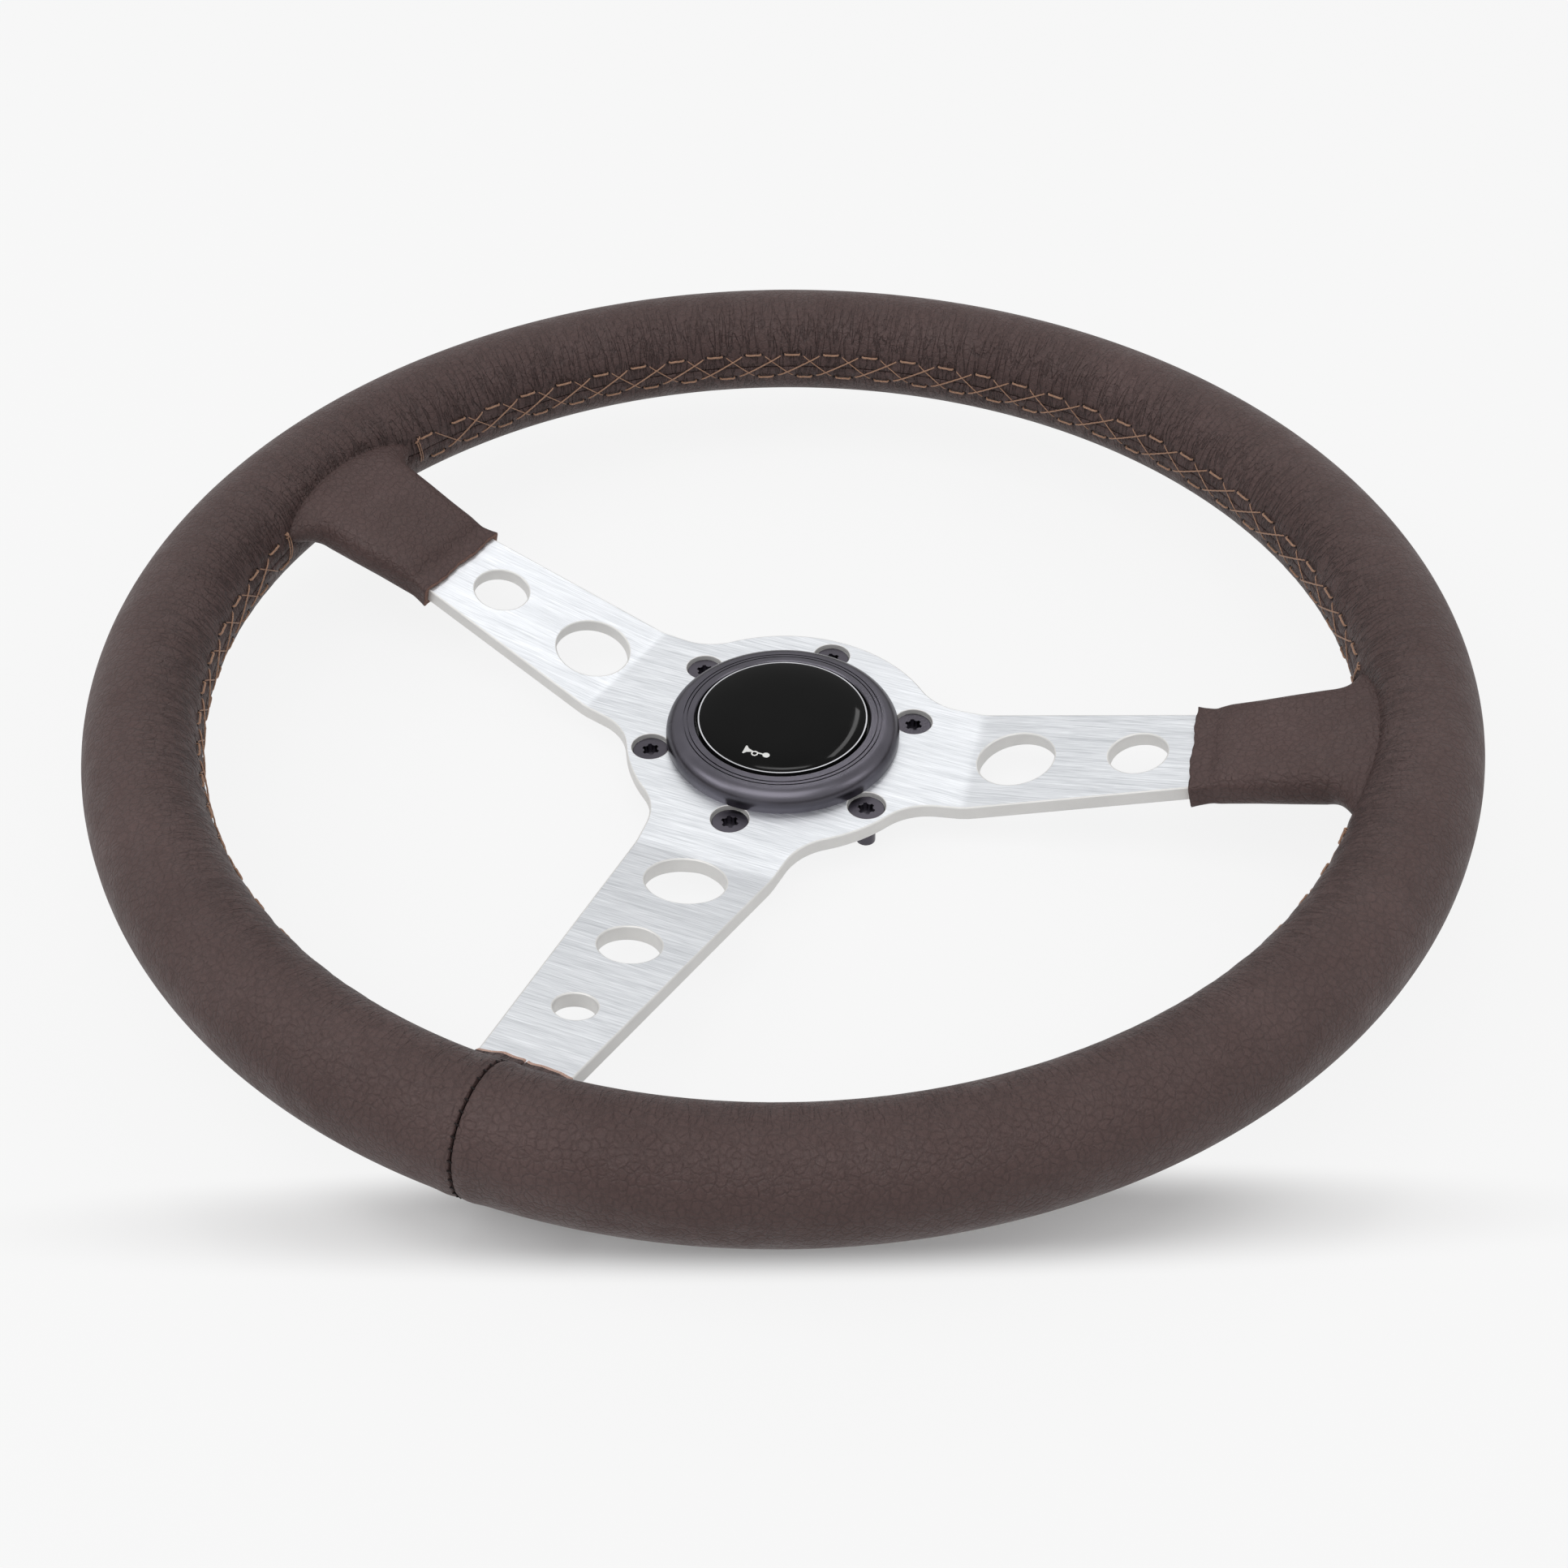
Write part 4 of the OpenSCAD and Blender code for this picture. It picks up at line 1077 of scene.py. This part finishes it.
def build_horn_sign():
    """The sign lies on the dome as a print 0.03 mm thick."""
    lift, middle = 0.03, np.array([-0.2, -16.4])
    bundle = Bundle()

    def point(p):
        at = middle + np.array(p)
        return (*at, float(dome_z(np.linalg.norm(at))) + lift)

    for outline in horn_outlines():
        bundle.add(np.array([point(p) for p in outline]), [tuple(range(len(outline)))])
    turns, loop_middle = 32, np.array([-0.55, -0.45])
    loop = [point(loop_middle + polar(r, 360.0 * k / turns)) for r in (0.55, 0.92) for k in range(turns)]
    bundle.add(np.array(loop), grid_faces(2, turns, close_columns=True))
    sign = bundle.build("horn_sign", PRINT_WHITE, body=BUTTON, smooth_shade=False)
    bm = bmesh.new()
    bm.from_mesh(sign.data)
    for face in bm.faces:
        if face.normal.z < 0:
            face.normal_flip()
    bm.to_mesh(sign.data)
    bm.free()


# The return spring: the same values as the construction
SPRING_R = 12.5
SPRING_WIRE_R = 0.6
SPRING_TURNS = 4.5
SPRING_LOW, SPRING_HIGH = -5.3, 3.3


def build_spring():
    """The return spring, made at one length. The real spring shortens as the horn is pressed."""
    t = np.linspace(0.0, 1.0, 280)
    turn = 2 * np.pi * SPRING_TURNS * t
    low, high = SPRING_LOW + SPRING_WIRE_R, SPRING_HIGH - SPRING_WIRE_R
    sides = 12
    psi = np.arange(sides) * 2 * np.pi / sides
    r = SPRING_R + SPRING_WIRE_R * np.cos(psi)
    z = np.add.outer(low + (high - low) * smooth(t, 0.0, 1.0), SPRING_WIRE_R * np.sin(psi))
    verts = np.stack([np.outer(np.cos(turn), r), np.outer(np.sin(turn), r), z], axis=-1).reshape(-1, 3)
    spring = make_object("spring_coil", verts, capped_faces(len(t), sides), STEEL)
    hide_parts("horn_spring")
    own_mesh(spring)


PUSH_RIM_R = 21.8
PUSH_RIM_Z = 9.9


def brighten_push_rim():
    """The push's narrow rim round the dome is bare bright metal."""
    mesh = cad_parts["horn_push"].data
    mesh.materials.append(BRIGHT_RIM)
    for polygon in mesh.polygons:
        c = polygon.center
        if math.hypot(c.x, c.y) > PUSH_RIM_R * MM and c.z > PUSH_RIM_Z * MM:
            polygon.material_index = 1


# ---- scene

build_rim()
build_stitches()
build_needle_hole_shade()
build_seam_thread()
build_plate()
for node, angle in SIDE_ANGLES.items():
    build_sleeve(node, angle)
build_dome()
build_horn_sign()
build_spring()
brighten_push_rim()


STUDIO = {
    # name: direction to the light, distance, size and radiance
    "softbox_top": ((0.05, -0.36, 0.93), 3.0, (2.6, 2.0), 2.25),
    "softbox_left": ((-0.58, -0.42, 0.70), 3.2, (1.6, 1.2), 2.7),
    "softbox_side": ((0.78, 0.12, 0.61), 3.0, (1.0, 1.2), 1.9),
    "strip_back": ((-0.205, 0.479, 0.852), 3.0, (0.5, 0.16), 9.0),
    "strip_right": ((-0.12, 0.69, 0.71), 3.0, (0.09, 0.80), 8.0),
}
AMBIENT = 0.40
FLOOR_ALBEDO = 0.92
FLOOR_SEEN = 0.942
# The shadow shows on the floor in a long oval under the rim's lower part, as
# seen along the camera's way over the floor
SHADOW_TURN = -23.0
SHADOW_MIDDLE = (0.0, -146.0)
SHADOW_HALF = (185.0, 15.5)
SHADOW_FADE = (0.45, 1.1)
SHADOW_REST = 0.92


FLOOR_HALF = 6000.0
FLOOR_GAP = 0.02


def background_rays(tree):
    """1 for rays that look at the background, 0 for rays that gather its light."""
    path = tree.nodes.new("ShaderNodeLightPath")
    seen = path.outputs["Is Camera Ray"]
    for other in ("Is Glossy Ray", "Is Transmission Ray"):
        either = tree.nodes.new("ShaderNodeMath")
        either.operation = "MAXIMUM"
        tree.links.new(seen, either.inputs[0])
        tree.links.new(path.outputs[other], either.inputs[1])
        seen = either.outputs["Value"]
    return seen


def build_floor():
    """A pale floor that keeps the object's shadow inside the oval."""
    n = Nodes("floor")
    n.set(Roughness=1.0, Specular_IOR_Level=0.0, Base_Color=(*[FLOOR_ALBEDO] * 3, 1.0))
    turn = math.radians(-SHADOW_TURN)
    x, y = SHADOW_MIDDLE
    middle = (x * math.cos(turn) - y * math.sin(turn), x * math.sin(turn) + y * math.cos(turn), 0.0)
    place = n.add("ShaderNodeMapping", n.add("ShaderNodeTexCoord").outputs["Object"],
                  vector_type="TEXTURE", Location=[c * MM for c in middle],
                  Rotation=(0.0, 0.0, turn), Scale=(SHADOW_HALF[0] * MM, SHADOW_HALF[1] * MM, 1.0))
    far = n.add("ShaderNodeVectorMath", place.outputs["Vector"], operation="LENGTH")
    share = n.span(far.outputs["Value"], *SHADOW_FADE, 0.0, SHADOW_REST)
    share.node.interpolation_type = "SMOOTHSTEP"
    glow = n.add("ShaderNodeEmission", (*[FLOOR_SEEN] * 3, 1.0))
    mix = n.add("ShaderNodeMixShader", n.math("MULTIPLY", background_rays(n.tree), share),
                n.shader.outputs["BSDF"], glow.outputs["Emission"])
    # seen from below, the floor is clear, so that the back can be looked at
    below = n.add("ShaderNodeNewGeometry").outputs["Backfacing"]
    clear = n.add("ShaderNodeBsdfTransparent")
    sides = n.add("ShaderNodeMixShader", below, mix.outputs["Shader"], clear.outputs["BSDF"])
    n.give(n.tree.nodes["Material Output"], "Surface", sides.outputs["Shader"])
    z = (FLOOR_Z - FLOOR_GAP) * MM
    half = FLOOR_HALF * MM
    corners = [(-half, -half, z), (half, -half, z), (half, half, z), (-half, half, z)]
    mesh = bpy.data.meshes.new("floor")
    mesh.from_pydata(corners, [], [(0, 1, 2, 3)])
    mesh.materials.append(n.material)
    floor = new_object("floor", mesh)


def build_world():
    world = bpy.data.worlds.new("studio")
    world.use_nodes = True
    tree = world.node_tree
    background = tree.nodes["Background"]
    background.inputs["Color"].default_value = (1.0, 1.0, 1.0, 1.0)
    mix = tree.nodes.new("ShaderNodeMapRange")
    tree.links.new(background_rays(tree), mix.inputs["Value"])
    mix.inputs["To Min"].default_value = AMBIENT
    mix.inputs["To Max"].default_value = FLOOR_SEEN
    tree.links.new(mix.outputs["Result"], background.inputs["Strength"])
    bpy.context.scene.world = world


def build_lights():
    for name, (direction, distance, size, radiance) in STUDIO.items():
        light = bpy.data.lights.new(name, "AREA")
        light.shape = "RECTANGLE"
        light.size, light.size_y = size
        light.energy = radiance * math.pi * size[0] * size[1]
        obj = new_object(name, light)
        away = Vector(direction).normalized()
        obj.location = away * distance
        obj.rotation_euler = away.to_track_quat("Z", "Y").to_euler()


# Where the photo was taken from: metres, degrees, and the lens on a 36 mm sensor
CAMERA_AT = (0.169354, -0.398202, 0.384296)
CAMERA_TURN = (47.3701, 0.5348, 22.5272)
CAMERA_LENS = 50.1416


def build_camera():
    camera = bpy.data.cameras.new("camera")
    camera.sensor_width = 36.0
    camera.lens = CAMERA_LENS
    camera.clip_start, camera.clip_end = 0.01, 50.0
    obj = new_object("camera", camera)
    obj.location = CAMERA_AT
    obj.rotation_euler = Euler([math.radians(a) for a in CAMERA_TURN], "XYZ")
    bpy.context.scene.camera = obj


build_floor()
build_world()
build_lights()
build_camera()
bpy.context.scene.view_settings.view_transform = "Standard"
